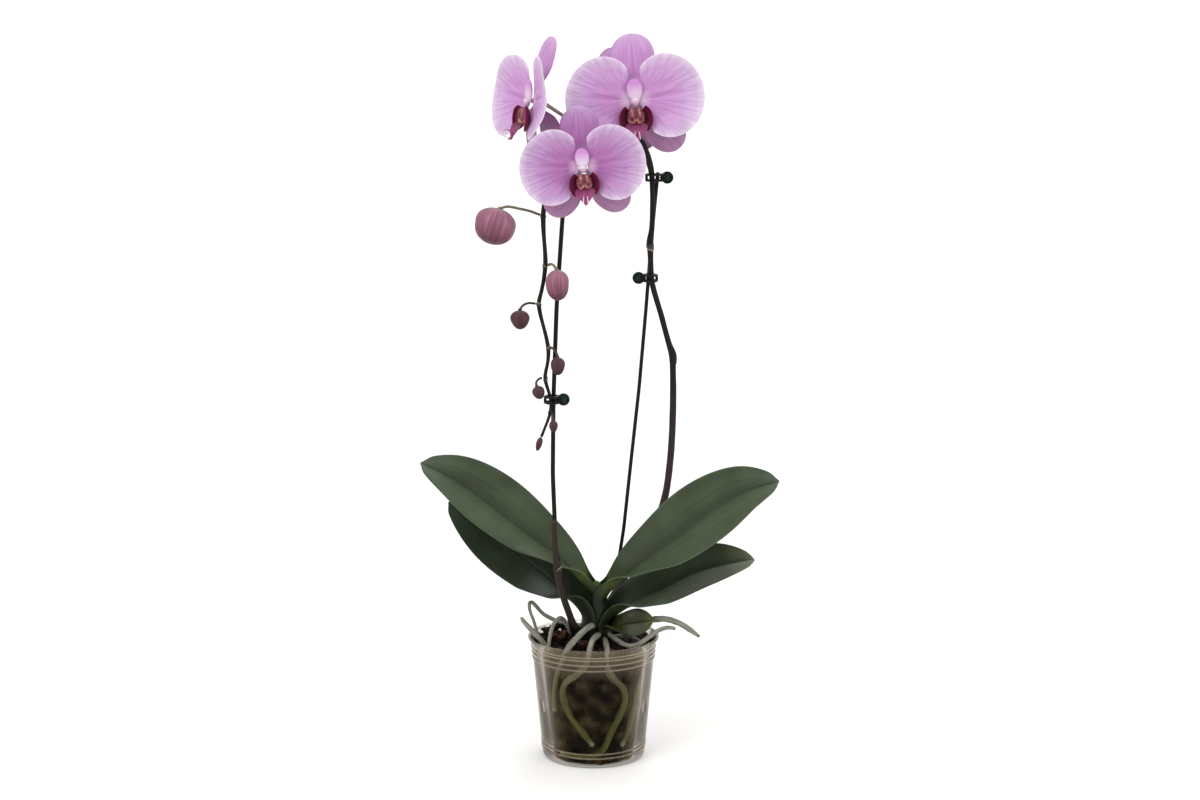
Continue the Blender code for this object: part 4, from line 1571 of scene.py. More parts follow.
@dataclass
class Clip:
    """A spring clip: two round bands about stem and stake, ribbed jaws and a finger ring."""

    node: str
    stem_route: Route
    stake_route: Route
    handle: int                 # which side of the stem the finger ring is on, -1 or 1
    wire: float = 1.15
    spread: float = 2.6
    ring_radius: float = 4.3
    grip: float = 4.9           # from a held centre to the band's line

    def centres(self) -> tuple[Vector, Vector]:
        """Where the stem and the stake pass through the clip, in millimetres.

        Returns:
            The two points.
        """
        low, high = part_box(self.node)
        middle = (low + high) / 2 / MM
        held = []
        for route in (self.stem_route, self.stake_route):
            reach, _ = route.nearest(middle)
            held.append(route.at(reach).centre)
        return held[0], held[1]

    def band(self, name: str, centre: Vector, across: float, deep: float) -> Object:
        """One oval band round the stem and the stake.

        Args:
            name: its name.
            centre: its middle, in millimetres.
            across: its half width.
            deep: its half depth.

        Returns:
            The band.
        """
        loop = new_primitive(name, bpy.ops.mesh.primitive_torus_add, major_segments=40, minor_segments=12,
                             major_radius=MM, minor_radius=self.wire * MM / across)
        for vertex in loop.data.vertices:
            tall = vertex.co.z * across
            vertex.co = centre * MM + Vector((vertex.co.x * across, vertex.co.y * deep, tall))
        return loop

    def jaw(self, x: float, middle: Vector, size: tuple[float, float, float]) -> Object:
        """One rounded block of the jaws, beside the clip's middle.

        Args:
            x: where its middle is across the clip, in millimetres.
            middle: the clip's middle.
            size: its three sides.

        Returns:
            The block.
        """
        block = new_primitive("jaw", bpy.ops.mesh.primitive_cube_add, size=MM, scale=size,
                              location=(x * MM, middle.y * MM, middle.z * MM))
        settle(block)
        apply_modifier(block, "BEVEL", width=0.9 * MM, segments=3)
        return block

    def hoop(self, name: str, place: tuple[float, float, float], radii: tuple[float, float],
             segments: tuple[int, int], tip: float = 0.0) -> Object:
        """A round hoop of round wire.

        Args:
            name: its name.
            place: its middle, in millimetres.
            radii: the hoop's and the wire's.
            segments: faces along and around the wire.
            tip: how far it is turned about the x axis, in radians.

        Returns:
            The hoop.
        """
        hoop = new_primitive(name, bpy.ops.mesh.primitive_torus_add, major_segments=segments[0],
                             minor_segments=segments[1], major_radius=radii[0] * MM,
                             minor_radius=radii[1] * MM, location=[side * MM for side in place],
                             rotation=(tip, 0, 0))
        settle(hoop)
        return hoop

    def build(self) -> list[Object]:
        """Model and dress the clip.

        Returns:
            The clip's body and the lens in its ring.
        """
        held_stem, held_stake = self.centres()
        low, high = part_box(self.node)
        middle = Vector(((held_stem.x + held_stake.x) / 2, (held_stem.y + held_stake.y) / 2,
                         (low.z + high.z) / 2 / MM))
        across = 0.5 * abs(held_stem.x - held_stake.x) + self.grip
        deep = 0.5 * abs(held_stem.y - held_stake.y) + self.grip
        parts = [self.band(f"band_{lift}", middle + Vector((0, 0, lift * self.spread)), across, deep)
                 for lift in (-1, 1)]
        jaw_x = middle.x + self.handle * (across - 0.4)
        ring_x = middle.x + self.handle * (across + 4.0)
        jaws = [self.jaw(jaw_x, middle, (3.6, 4.4, 7.4)),
                self.jaw(middle.x - self.handle * across, middle, (2.6, 5.2, 6.6))]
        ring = self.hoop("ring", (ring_x, middle.y, middle.z), (self.ring_radius, 1.35), (40, 12),
                         tip=math.pi / 2)
        ribs = [self.hoop("rib", (jaw_x, middle.y, middle.z + lift), (2.7, 0.55), (24, 8))
                for lift in (-2.6, 0.0, 2.6)]
        body = join(f"{self.node}.spring", [*parts, *jaws, ring, *ribs])
        dress(body, [Coated("dark_green_plastic", "060C08", 0.3)], [self.node])
        lens = new_primitive(f"{self.node}.lens", bpy.ops.mesh.primitive_cylinder_add, vertices=32,
                             radius=(self.ring_radius - 1.0) * MM, depth=0.8 * MM,
                             location=(ring_x * MM, middle.y * MM, middle.z * MM),
                             rotation=(math.pi / 2, 0, 0))
        settle(lens)
        apply_modifier(lens, "BEVEL", width=0.25 * MM, segments=2)
        dress(lens, [Coated("green_plastic", "0E2A14", 0.3)], [])
        return [body, lens]


# ---------------------------------------------------------------- leaves

@dataclass
class Leaf:
    """A strap leaf: its sheath clasps the crown, and its blade has a sunken midrib and leans."""

    node: str
    midrib: Sequence[tuple[float, float, float]]
    half_width: float
    lean: float                 # degrees
    fold: float                 # degrees
    layer: float                # how far the sheath lies outside the crown
    foot: float                 # height at which the sheath starts
    seed: int = 0
    skin: LeafSkin = LeafSkin()
    under: LeafSkin = LeafSkin(blade="3D4830")
    columns: int = 32
    rows: int = 84
    thickness: float = 1.7
    crown_top: float = 158.0
    sheath_share: float = 0.15  # share of the rows in the sheath
    clasp: float = 112.0        # degrees that the sheath reaches round the crown to each side
    heel: float = 0.2           # extra width at the blade's base, as a share of its widest
    fullness: float = 1.25      # the higher, the nearer to its tip the blade is widest

    def centre_line(self, crown: Route) -> tuple[Route, float]:
        """A smooth line up the crown's side and on through the midrib's points.

        Args:
            crown: the crown's centre line.

        Returns:
            The line and how long its part along the crown is.
        """
        points = [Vector(point) for point in self.midrib]
        heading = (points[-1] - points[0]).xy.to_3d().normalized()
        rise = []
        for share in (0.0, 0.5, 0.85):
            height = self.foot + share * (points[0].z - self.foot)
            reach, _ = crown.nearest(Vector((*CROWN_AT, height)))
            station = crown.at(reach)
            rise.append(Vector((*station.centre.xy, height)) + heading * (station.radius + self.layer))
        points = rise + points[1:]
        line = [(points[0], 0.0)]
        joint = 0
        for index in range(len(points) - 1):
            before = points[max(index - 1, 0)]
            after = points[min(index + 2, len(points) - 1)]
            a, b = points[index], points[index + 1]
            for step in range(1, 9):
                t = step / 8
                bow = (2 * a + (b - before) * t + (2 * before - 5 * a + 4 * b - after) * t ** 2
                       + (3 * a - before - 3 * b + after) * t ** 3) / 2
                line.append((bow, 0.0))
            if index == len(rise) - 1:
                joint = len(line) - 6
        route = Route(line, smoothing=10)
        length = sum((b[0] - a[0]).length for a, b in zip(line[:joint], line[1:joint + 1]))
        return route, length

    def build(self, crown: Route) -> Object:
        """Model and dress the leaf.

        Args:
            crown: the crown's centre line.

        Returns:
            The leaf.
        """
        line, joint = self.centre_line(crown)
        heading = (Vector(self.midrib[-1]) - Vector(self.midrib[0])).xy.normalized()
        level = Vector((-heading.y, heading.x, 0))
        if level.y < 0:
            level = -level
        inward = 1.0 if line.ahead[-20].cross(level).z > 0 else -1.0

        def shape(across: float, along: float) -> Vector:
            """Where a point of the leaf lies.

            Args:
                across: -1 to 1, from edge to edge.
                along: 0 to 1, from its sheath to its tip.

            Returns:
                The point, in millimetres.
            """
            blade = max(along - self.sheath_share, 0.0) / (1 - self.sheath_share)
            blade = 0.5 - 0.5 * math.cos(math.pi * blade) if along > self.sheath_share else 0.0
            reach = joint * min(along / self.sheath_share, 1.0) + blade * (line.length - joint)
            station = line.at(reach)
            upward = inward * station.ahead.cross(level).normalized()
            open_out = min(max((reach - joint + 7) / 30, 0.0), 1.0)
            open_out = open_out ** 2 * (3 - 2 * open_out)
            outline = 0.03 + 0.955 * blade
            width = math.sin(math.pi * outline ** self.fullness) ** 0.7 + self.heel * (1 - blade) ** 3
            tip = min(max((blade - 0.955) / 0.045, 0.0), 1.0)
            width *= self.half_width * math.sqrt(1 - tip ** 2)
            round_crown, _ = crown.nearest(Vector((*CROWN_AT, min(station.centre.z, self.crown_top))))
            radius = crown.at(round_crown).radius + self.layer
            spread = (1 - open_out) * radius * math.radians(self.clasp) + open_out * width
            bend = (1 - open_out) / radius
            turn = bend * spread * across
            out = math.sin(turn) / bend if bend > 1e-4 else spread * across
            over = (1 - math.cos(turn)) / bend if bend > 1e-4 else 0.0
            tilt = math.radians(self.lean * open_out * min(1.0, 0.45 + 1.6 * blade))
            fold = self.fold + 22 * (1 - blade) ** 5
            trough = math.tan(math.radians(fold)) * spread * abs(across) ** 1.12 * open_out
            groove = -0.9 * math.exp(-(across / 0.035) ** 2) * open_out
            roll = 0.6 * math.sin(7.0 * along + self.seed) + 0.5 * math.sin(15.0 * along + 2 * self.seed)
            wave = roll * across ** 2 * math.copysign(1.0, across) * blade
            bulge = 0.8 * noise.noise(Vector((along * 5, across * 1.5, self.seed))) * open_out
            aside = math.cos(tilt) * level + math.sin(tilt) * upward
            face = math.cos(tilt) * upward - math.sin(tilt) * level
            return station.centre + aside * out + face * (over + trough + groove + wave + bulge)

        piece = mould(f"{self.node}.blade", self.columns, self.rows, shape)
        weld(piece)
        self.face_up(piece)
        thicken(piece, self.thickness, back=1)
        return dress(piece, [self.skin, self.under], [self.node])

    def face_up(self, piece: Object) -> None:
        """Turn the blade's faces to the sky, so that the upper finish is on top.

        Args:
            piece: the blade, before it has its thickness.
        """
        rise = sum(polygon.normal.z * polygon.area for polygon in piece.data.polygons)
        if rise < 0:
            flip(piece)


def leaves() -> list[Leaf]:
    """The four strap leaves and the short yellowing one at the crown's foot.

    Returns:
        The leaves, ready to build.
    """
    yellowing = LeafSkin(blade="282F08", base="1A2308", tip="565A18", sheath="141B08")
    # The lower left leaf's darker finish is painted shade under the leaves above it.
    shaded = LeafSkin(blade="293323", base="222C14", tip="465240")
    return [
        Leaf("leaf_upper_left", ((-3.4, -4, 161.4), (-32, 0, 186), (-64, 5, 210), (-96, 10, 234),
                                 (-128, 15, 256), (-159, 19, 270)), 29.5, 50, 20, 0.6, 124, seed=1),
        Leaf("leaf_upper_right", ((10.8, -4, 156.6), (38, -7, 178), (70, -9, 202), (103, -9, 227),
                                  (136, -6, 248), (169, -2, 257)), 31, 57, 20, 1.2, 120, seed=2),
        Leaf("leaf_lower_left", ((-9.4, -1, 138.6), (-31, 8, 155), (-58, 16, 175), (-86, 22, 196),
                                 (-112, 26, 216), (-134, 28, 232)), 29, 52, 14, 5.5, 108, seed=3,
             skin=shaded, clasp=96, heel=0.6),
        Leaf("leaf_lower_right", ((12.6, -1, 133), (38, 0, 142.6), (66, 2, 156.4), (94, 4, 170),
                                  (122, 5, 178), (148, 5, 182)), 29, 30, 15, 4.0, 106, seed=4,
             # This leaf's light grey-green tip is painted sheen.
             skin=LeafSkin(blade="34402A", base="263116", tip="7E846C"), clasp=84, heel=0.55),
        Leaf("leaf_basal_right", ((10.0, -8.4, 123), (21, -15.4, 126), (32, -19.6, 128.6),
                                  (43, -22.4, 130.6), (54.5, -24, 132.6)), 12.8, 64, 8, 3.4, 107, seed=5,
             skin=yellowing, under=yellowing, clasp=60, rows=48, sheath_share=0.2, heel=0.35,
             fullness=1.6),
    ]


# ---------------------------------------------------------------- flowers and buds

class Side(Enum):
    """The two sides of a flower, seen from in front."""

    LEFT = -1
    RIGHT = 1


@dataclass
class Flower:
    """One open flower, modelled about its centre: x to the right seen from in front, z up."""

    name: str
    turn: float                 # degrees about the plumb line
    nod: float
    roll: float
    length: float               # a petal's span, which sizes the whole flower
    cup: float
    seed: int = 0
    tone: Tone = Tone.PALE
    neck: float = 3.2
    gap: float = 0.3
    sepal_layer: float = 2.5
    upper_curl: float = 4.0
    lower_curl: float = 12.0
    full_length: float = 62.0   # the span for which the shapes below are given
    rings: list = field(init=False)
    matrix: Matrix = field(init=False)

    def __post_init__(self) -> None:
        """Stand the flower where the neck of its column solid is."""
        self.rings = read_rings(f"{self.name}_column")
        if self.rings[0][1] > self.rings[-1][1]:
            self.rings.reverse()
        neck = self.rings[len(self.rings) // 2][0]
        turned = Euler((0, 0, math.radians(self.turn))).to_matrix()
        nodding = Euler((math.radians(self.nod), 0, 0)).to_matrix()
        rolled = Euler((0, math.radians(self.roll), 0)).to_matrix()
        rotation = turned @ nodding @ rolled
        centre = neck - rotation @ Vector((0, 1.5, 0))
        self.matrix = Matrix.Translation(centre * MM) @ rotation.to_4x4()

    @property
    def scale(self) -> float:
        """The flower's size against a full one."""
        return self.length / self.full_length

    def skin(self, piece: Object, node: str, slot: str, thickness: float, tone: Tone) -> Object:
        """Stand a moulded petal or sepal in place, thicken it and dress it.

        Args:
            piece: the sheet, about the flower's centre.
            node: the solid it stands for.
            slot: not used.
            thickness: in millimetres.
            tone: how deep its pink is.

        Returns:
            The finished piece.
        """
        self.face_front(piece)
        piece.data.transform(self.matrix)
        thicken(piece, thickness, back=1, rim=2)
        # Sepals in painted shade keep it on their backs too.
        behind = PetalSkin(Face.BACK, Tone.DUSKY if tone is Tone.DUSKY else Tone.PALE)
        return dress(piece, [PetalSkin(Face.FRONT, tone), behind, PetalSkin(Face.RIM)], [node])

    def face_front(self, piece: Object) -> None:
        """Turn a sheet's faces to the flower's front.

        Args:
            piece: the sheet, about the flower's centre.
        """
        if sum(polygon.normal.y * polygon.area for polygon in piece.data.polygons) > 0:
            flip(piece)

    def petal(self, side: Side) -> Object:
        """A broad side petal: a fan from its narrow claw to a round, faintly waved rim.

        Args:
            side: which side it is on.

        Returns:
            The petal.
        """
        scale = self.scale
        claw = self.neck + 3 * self.gap
        phase = self.seed * 1.7 + side.value
        out, up, radius = 20, 2, 40.5       # centre and radius of the circle that the rim follows

        def shape(across: float, along: float) -> Vector:
            """Where a point of the petal lies.

            Args:
                across: -1 to 1, over its fan from below to above.
                along: 0 to 1, from its claw to its rim.

            Returns:
                The point, in millimetres.
            """
            angle = math.radians(9 + 78 * across)
            reach = out * math.cos(angle) + up * math.sin(angle)
            inside = radius ** 2 - (out * math.sin(angle) - up * math.cos(angle)) ** 2
            rim = (reach + math.sqrt(inside)) * (1 - 0.24 * abs(across) ** 5)
            radial = along * rim * scale
            x = claw + radial * math.cos(angle)
            z = radial * math.sin(angle) + (1 - along) ** 2 * 2.4 * across
            curl = (self.lower_curl if z < 0 else self.upper_curl) * scale * (z / 40 / scale) ** 2
            wave = 0.9 * along ** 4 * math.sin(9 * across + phase)
            crease = -0.9 * math.exp(-(across / 0.07) ** 2) * math.sin(math.pi * min(along * 1.2, 1.0))
            ripple = 0.5 * noise.noise(Vector((6 * across, 2 * along, phase))) * along
            forward = math.sin(math.radians(self.cup)) * x + curl + wave + crease + ripple
            return Vector((side.value * x * math.cos(math.radians(self.cup)), -forward, z))

        label = side.name.lower()
        piece = mould(f"{self.name}_petal_{label}.skin", 48, 26, shape)
        return self.skin(piece, f"{self.name}_petal_{label}", "petal", 0.7, self.tone)

    def sepal(self, label: str, direction: float, length: float, half_width: float) -> Object:
        """A sepal behind the petals: a pointed oval, leaning back, with a shallow keel.

        Args:
            label: its name: dorsal, left or right.
            direction: degrees from the flower's +x.
            length: to its tip, in millimetres on a full-size flower.
            half_width: in millimetres on a full-size flower.

        Returns:
            The sepal.
        """
        scale = self.scale
        heading = math.radians(direction)
        outward = Vector((math.cos(heading), 0, math.sin(heading)))
        sideways = Vector((-math.sin(heading), 0, math.cos(heading)))
        start = self.neck + (5 * self.gap if direction > 0 else 2 * self.gap)
        widest = 0.56
        claw = 2.3

        def shape(across: float, along: float) -> Vector:
            """Where a point of the sepal lies.

            Args:
                across: -1 to 1, from edge to edge.
                along: 0 to 1, from its base to its tip.

            Returns:
                The point, in millimetres.
            """
            along = math.sin(0.5 * math.pi * along)
            radial = along * (length * scale + 1.5 - start)
            if along < widest:
                swell = math.sin(0.5 * math.pi * along / widest) ** 2
            else:
                swell = (1.0004 - ((along - widest) / (1 - widest)) ** 2.5) ** 0.46
            width = claw + (half_width * scale - claw) * swell if along < widest else \
                half_width * scale * swell
            back = self.sepal_layer + 0.2 * radial + 1.5 * (across * along) ** 2
            keel = 0.5 * math.exp(-(across / 0.1) ** 2) * along * swell
            wave = 0.7 * across * math.sin(5 * along + self.seed + direction) * along
            crown = 1.6 * along * (1 - across ** 2) * swell
            behind = Vector((0, back + keel + wave, 0))
            return (start + radial + crown) * outward + width * across * sideways + behind

        piece = mould(f"{self.name}_sepal_{label}.skin", 24, 30, shape)
        # The side sepals take the darker tone, painted shade under the petals.
        tone = self.tone if label == "dorsal" else Tone.DUSKY
        return self.skin(piece, f"{self.name}_sepal_{label}", "sepal", 0.8, tone)

    def side_lobe(self, side: Side) -> Object:
        """A side lobe of the lip: half a round cup that stands beside the callus.

        Args:
            side: which side it is on.

        Returns:
            The lobe, about the flower's centre.
        """
        def shape(across: float, along: float) -> Vector:
            """Where a point of the lobe lies.

            Args:
                across: -1 to 1, over its fan from below to above.
                along: 0 to 1, from its base to its rim.

            Returns:
                The point, in millimetres.
            """
            angle = math.radians(2 + 58 * across)
            out = along * (1 - 0.16 * across ** 4)
            radius = 5.0 + 10.6 * math.sin(1.85 * out)
            forward = 4.0 + 9.5 * out ** 1.4
            x = side.value * radius * math.cos(angle) ** 0.8
            z = -16.8 + 0.88 * radius * math.sin(angle)
            return Vector((x, -forward, z)) * self.scale

        return mould(f"{self.name}_lobe_{side.name.lower()}", 26, 18, shape)

    def mid_lobe(self) -> Object:
        """The lip's mid-lobe: an arrowhead that narrows to its tip.

        Returns:
            The lobe, about the flower's centre.
        """
        keel = Route([(Vector((0, -8.5, -20.5)), 8.5), (Vector((0, -12.5, -24)), 11.0),
                      (Vector((0, -15.5, -28)), 8.2), (Vector((0, -18, -32)), 4.4),
                      (Vector((0, -19.6, -36.6)), 0.9)], smoothing=3)

        def shape(across: float, along: float) -> Vector:
            """Where a point of the lobe lies.

            Args:
                across: -1 to 1, from edge to edge.
                along: 0 to 1, from its base to its tip.

            Returns:
                The point, in millimetres.
            """
            station = keel.at(along * keel.length)
            cup = 4.4 * across ** 2 * (1 - along) + 1.3 * math.exp(-(across / 0.22) ** 2)
            return (station.centre + Vector((station.radius * across, -cup, 0))) * self.scale

        return mould(f"{self.name}_mid_lobe", 22, 28, shape)

    def tendrils(self) -> Object:
        """Two thin tendrils that loop forward and back up from the lip's tip.

        Returns:
            Both, about the flower's centre.
        """
        parts = []
        for side in Side:
            points = []
            for step in range(29):
                share = step / 28
                turn = math.radians(-70 + 350 * share)
                reach = Vector((side.value * (0.6 + 2.4 * share), -24.5 + 5.4 * math.cos(turn),
                                -32.4 + 4.2 * math.sin(turn)))
                points.append(((reach * (1 - 0.06 * share)) * self.scale, 0.6 - 0.25 * share))
            parts.append(stem(f"{self.name}_tendril", Route(points, smoothing=1), 8, 0.8))
        return join(f"{self.name}_tendrils", parts)

    def callus(self) -> Object:
        """The warty callus in the throat: a curved ridge and a hollow on each side of a groove.

        Returns:
            The callus, about the flower's centre.
        """
        piece = new_primitive(f"{self.name}_callus.wart", bpy.ops.mesh.primitive_uv_sphere_add, segments=72,
                              ring_count=44, radius=1.0)
        ridges = piece.data.attributes.new("ridge", "FLOAT", "POINT")
        for vertex in piece.data.vertices:
            ray = vertex.co.copy()
            facing = max(-ray.y, 0.0)
            off = math.hypot(abs(ray.x) - 0.5, ray.z + 0.38)
            cup = math.exp(-((off - 0.36) / 0.14) ** 2) * min(max((-0.12 - ray.z) / 0.3, 0.2), 1.0)
            rail = math.exp(-((abs(ray.x) - 0.42) / 0.16) ** 2) * min(max(ray.z + 0.1, 0.0) * 2, 1.0)
            ridge = min(cup + 0.8 * rail, 1.0)
            groove = math.exp(-(ray.x / 0.12) ** 2)
            hollow = math.exp(-(off / 0.2) ** 2)
            warts = 0.07 * noise.noise(ray * 4 + Vector((0, 0, self.seed)))
            patchy = 0.8 + 0.9 * noise.noise(ray * 3.1 + Vector((self.seed, 0, 4)))
            # The ridge value sets the colour: low in the hollows and towards the back, as painted shade.
            ridges.data[vertex.index].value = 0.2 + 0.62 * ridge * patchy * facing ** 0.3
            size = 1 + warts
            forward = facing ** 0.5 * (1.7 * ridge - 1.6 * groove - 1.2 * hollow)
            place = Vector((8.4 * ray.x, 3.8 * ray.y, 8.4 * ray.z)) * size - Vector((0, forward, 0))
            vertex.co = (place + Vector((0, -8.6, -14.6))) * self.scale * MM
        return piece

    def lip(self) -> list[Object]:
        """The whole lip: two side lobes, the mid-lobe, its tendrils and the callus.

        Returns:
            The lip's pieces.
        """
        lobes = [self.side_lobe(Side.LEFT), self.side_lobe(Side.RIGHT)]
        for lobe in lobes:
            self.face_front(lobe)
            thicken(lobe, 0.7, back=1)
        cup = join(f"{self.name}_lip.side_lobes", lobes)
        mid = self.mid_lobe()
        mid.name = f"{self.name}_lip.mid_lobe"
        self.face_front(mid)
        thicken(mid, 0.8)
        pieces = [cup, mid, self.tendrils(), self.callus()]
        for piece in pieces:
            piece.data.transform(self.matrix)
        outside = LipSkin(inside="9C6484", body="7C3F60", margin="5E1C3E")
        dress(cup, [LipSkin(), outside], [f"{self.name}_lip"])
        dress(mid, [LipSkin(inside="5A1438", body="8A3A68", margin="96507C")], [])
        dress(pieces[2], [ColumnSkin(top="E4D8E4", low="9A4C7C")], [])
        dress(pieces[3], [CallusSkin()], [])
        return pieces

    def column(self) -> list[Object]:
        """The stalk, the hooded column that stands up from the centre, and its anther cap.

        Returns:
            The pieces.
        """
        behind = self.rings[:len(self.rings) // 2 + 2]
        piece = stem(f"{self.name}_column.stalk", Route(behind, smoothing=4), 20, 0.9)
        dress(piece, [StalkSkin()], [f"{self.name}_column"])
        hood = new_primitive(f"{self.name}_column.hood", bpy.ops.mesh.primitive_uv_sphere_add, segments=36,
                             ring_count=26, radius=1.0)
        for vertex in hood.data.vertices:
            ray = vertex.co.copy()
            wide = 7.0 + 2.0 * ray.z - 1.4 * max(ray.z, 0) ** 3
            edge = 1.1 * ray.x ** 2 * max(ray.z + 0.3, 0)
            place = Vector((wide * ray.x, 2.5 * ray.y - edge, 11.4 * ray.z))
            vertex.co = (place + Vector((0, -4.6 - 0.6 * ray.z, 8.0))) * self.scale * MM
        cap = new_primitive(f"{self.name}_anther_cap", bpy.ops.mesh.primitive_uv_sphere_add, segments=28,
                            ring_count=18, radius=1.0)
        for vertex in cap.data.vertices:
            ray = vertex.co.copy()
            beak = 0.35 * max(-ray.z, 0) ** 2
            place = Vector((3.9 * ray.x * (1 - 0.6 * beak), 3.0 * ray.y - beak * 1.5, 4.0 * ray.z))
            vertex.co = (place + Vector((0, -6.2, -1.6))) * self.scale * MM
        for part in (hood, cap):
            part.data.transform(self.matrix)
        dress(hood, [ColumnSkin()], [])
        dress(cap, [ColumnSkin(top="D6C4D3", low="BE96B0")], [])
        return [piece, hood, cap]

    def build(self) -> list[Object]:
        """Model and dress the whole flower.

        Returns:
            Its pieces.
        """
        pieces = [self.petal(side) for side in Side]
        pieces.append(self.sepal("dorsal", 90, 58, 20.5))
        pieces.append(self.sepal("left", -129, 58, 18))
        pieces.append(self.sepal("right", -49, 59, 18))
        return pieces + self.lip() + self.column()


def flowers() -> list[Flower]:
    """The four open flowers, counted along the spike from its base.

    Returns:
        The flowers, ready to build.
    """
    return [
        Flower("flower_rear", 152, 3, 8, 54, 11.4, seed=1),
        Flower("flower_top_right", 0, 2, -3.3, 59.5, 12, seed=2),
        Flower("flower_left", -65, -3, 3, 59, 13, seed=3),
        Flower("flower_centre", 0, 3, -5.3, 52.8, 12, seed=4, tone=Tone.DEEP),
    ]


@dataclass
class Bud:
    """A closed bud on its stalk: three sepals meet along seams that run to the tip."""

    node: str
    seed: int
    ripe: bool = False
    widest: float = 0.42        # share of its length
    bluntness: float = 1.7      # the higher, the rounder its tip
    seam_depth: float = 0.06
    around: int = 48

    def build(self) -> list[Object]:
        """Model and dress the bud and its stalk.

        Returns:
            The bud and its stalk.
        """
        rings = read_rings(self.node)
        fattest = max(range(len(rings)), key=lambda index: rings[index][1])
        reach = [0.0]
        for (a, _), (b, _) in zip(rings, rings[1:]):
            reach.append(reach[-1] + (b - a).length)
        if reach[fattest] < reach[-1] - reach[fattest]:
            rings.reverse()
        thin = rings[0][1]
        split = next(index for index, ring in enumerate(rings) if ring[1] > 1.25 * thin)
        base = split - 1
        stalk = stem(f"{self.node}_stalk", Route(rings[:base + 1] + [rings[split]], smoothing=3), 12, 0.9)
        axis = rings[-1][0] - rings[base][0]
        length = axis.length
        axis.normalize()
        side = axis.orthogonal().normalized()
        other = axis.cross(side)
        radius = max(ring[1] for ring in rings)

        def shape(across: float, along: float) -> Vector:
            """Where a point of the bud lies.

            Args:
                across: -1 to 1, once round it.
                along: 0 to 1, from its stalk to its tip.

            Returns:
                The point, in millimetres.
            """
            along = 0.5 - 0.5 * math.cos(math.pi * along)
            from_widest = (along - self.widest) / (self.widest if along < self.widest else 1 - self.widest)
            power = 2.2 if along < self.widest else self.bluntness
            width = math.sqrt(max(1 - abs(from_widest) ** power, 0.0))
            turn = math.pi * (across + 1)
            lap = (1.5 * (turn + 0.9 * along + self.seed) / math.pi) % 1.0
            dent = self.seam_depth * math.exp(-(min(lap, 1 - lap) / 0.05) ** 2)
            size = radius * width * (1 - dent + 0.05 * lap)
            round_out = math.cos(turn) * side + math.sin(turn) * other
            return rings[base][0] + axis * along * length + round_out * size

        body = mould(f"{self.node}_sepals", self.around, 40, shape)
        weld(body)
        apply_modifier(body, "SMOOTH", factor=0.4, iterations=1)
        dress(body, [BudSkin(ripe=self.ripe)], [self.node])
        skin = StemSkin("57523E", "7A765C", 0.1) if self.ripe else StemSkin("2E2624", "4A403A", 0.1)
        dress(stalk, [skin], [])
        return [body, stalk]


# ---------------------------------------------------------------- studio

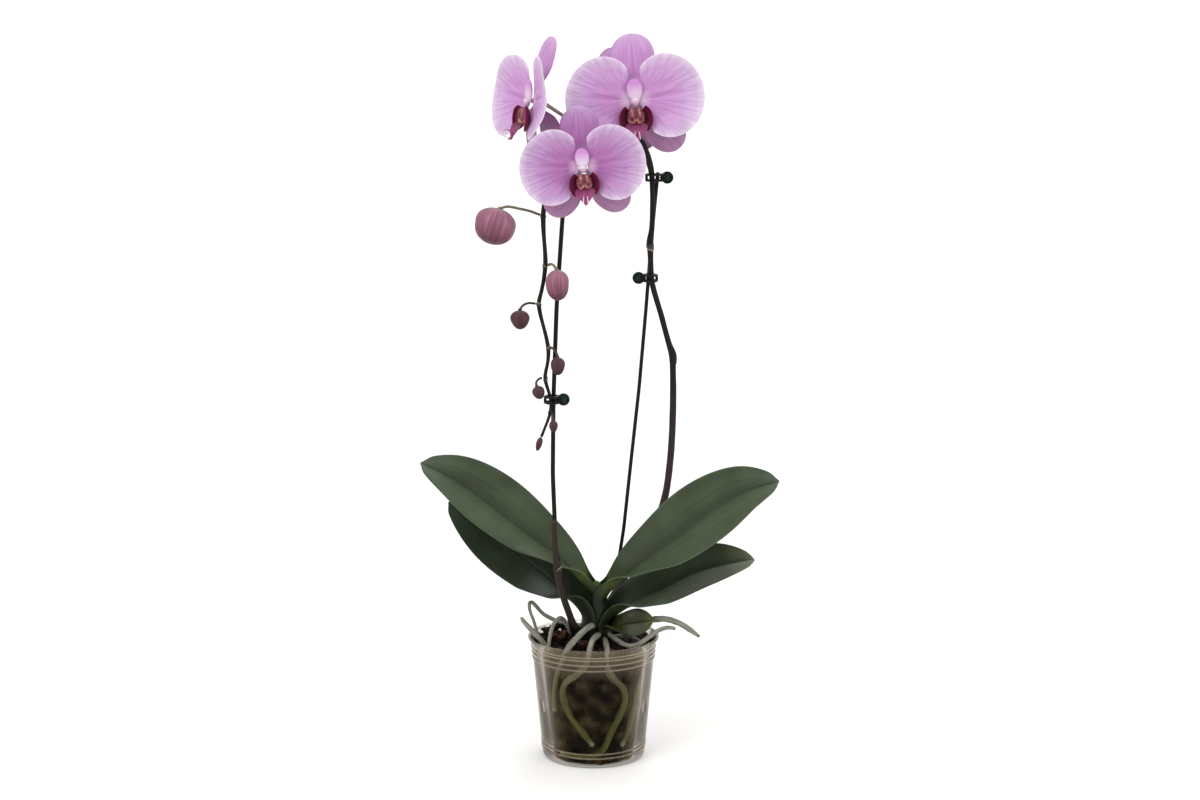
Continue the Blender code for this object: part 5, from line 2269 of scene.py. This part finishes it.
@dataclass
class Studio:
    """A plain pale floor that curves up into its backdrop, soft light and the camera."""

    floor_colour: str = "F4F3F1"
    eye: tuple[float, float, float] = (0.006, -1.80, 0.60)
    pitch: float = 81.53
    lens: float = 60.15
    key_power: float = 26.0
    fill_power: float = 12.0
    aim: tuple[float, float, float] = (0, 0, 0.35)      # what the lights point at

    def floor(self) -> Object:
        """A sheet that runs from before the camera, under the plant and up behind it.

        Returns:
            The floor.
        """
        half_width, length, before = 3000, 5200, 2400
        bend, start = 700.0, 1300.0         # the curve's radius and where it starts

        def shape(across: float, along: float) -> Vector:
            """Where a point of the floor lies.

            Args:
                across: -1 to 1, from side to side.
                along: 0 to 1, from front to back.

            Returns:
                The point, in millimetres.
            """
            run = along * length - before
            if run < start:
                return Vector((across * half_width, run, 0))
            turn = min((run - start) / bend, 0.5 * math.pi)
            rest = max(run - start - 0.5 * math.pi * bend, 0.0)
            height = bend * (1 - math.cos(turn)) + rest
            return Vector((across * half_width, start + bend * math.sin(turn), height))

        sheet = mould("studio_floor", 8, 80, shape)
        activate(sheet)
        bpy.ops.object.shade_smooth()
        paper = bpy.data.materials.new("paper_backdrop")
        paper.use_nodes = True
        shader = paper.node_tree.nodes["Principled BSDF"]
        shader.inputs["Base Color"].default_value = to_linear(self.floor_colour)
        shader.inputs["Roughness"].default_value = 0.9
        sheet.data.materials.append(paper)
        return sheet

    def lamp(self, name: str, place: tuple[float, float, float], size: float, power: float) -> Object:
        """A square soft light aimed at the plant's middle.

        Args:
            name: the lamp's name.
            place: in metres.
            size: its side, in metres.
            power: in watts.

        Returns:
            The lamp.
        """
        light = bpy.data.lights.new(name, "AREA")
        light.size = size
        light.energy = power
        lamp = bpy.data.objects.new(name, light)
        bpy.context.scene.collection.objects.link(lamp)
        lamp.location = place
        lamp.rotation_euler = (Vector(self.aim) - Vector(place)).to_track_quat("-Z", "Y").to_euler()
        return lamp

    def build(self) -> None:
        """Set up the floor, the lights, the world and the camera."""
        self.floor()
        self.lamp("key", (-1.3, -1.5, 2.0), 1.4, self.key_power)
        self.lamp("fill", (1.8, -1.2, 1.2), 1.6, self.fill_power)
        self.lamp("back", (0.4, 1.1, 1.9), 1.2, self.fill_power)
        world = bpy.data.worlds.new("studio")
        world.use_nodes = True
        world.node_tree.nodes["Background"].inputs["Color"].default_value = (1, 1, 1, 1)
        world.node_tree.nodes["Background"].inputs["Strength"].default_value = 0.9
        bpy.context.scene.world = world
        bpy.context.scene.view_settings.view_transform = "Standard"
        camera = bpy.data.objects.new("camera", bpy.data.cameras.new("camera"))
        camera.data.lens = self.lens
        camera.location = self.eye
        camera.rotation_euler = (math.radians(self.pitch), 0, 0)
        bpy.context.scene.collection.objects.link(camera)
        bpy.context.scene.camera = camera


def main() -> None:
    """Build the plant in its pot, piece by piece, then the studio round it."""
    logging.basicConfig(level=logging.INFO, format="%(name)s: %(message)s")
    pot = Pot()
    pot.build()
    roots = Roots()
    roots.build()
    Bark(pot, roots).build()
    stems = Stems()
    stems.build()
    stakes = Stakes()
    stakes.build()
    for node, stake, handle in (("clip_top", "stake_right", 1), ("clip_middle", "stake_right", -1),
                                ("clip_left", "stake_left", 1)):
        Clip(node, stems.spike, stakes.routes[stake], handle).build()
    for leaf in leaves():
        leaf.build(stems.crown)
    for flower in flowers():
        flower.build()
    tips = {1: 2.5, 2: 2.3, 3: 1.5}
    for index in range(1, 8):
        Bud(f"bud_{index}", index, ripe=index <= 2, bluntness=tips.get(index, 1.8)).build()
    Studio().build()


if __name__ == "__main__":
    main()
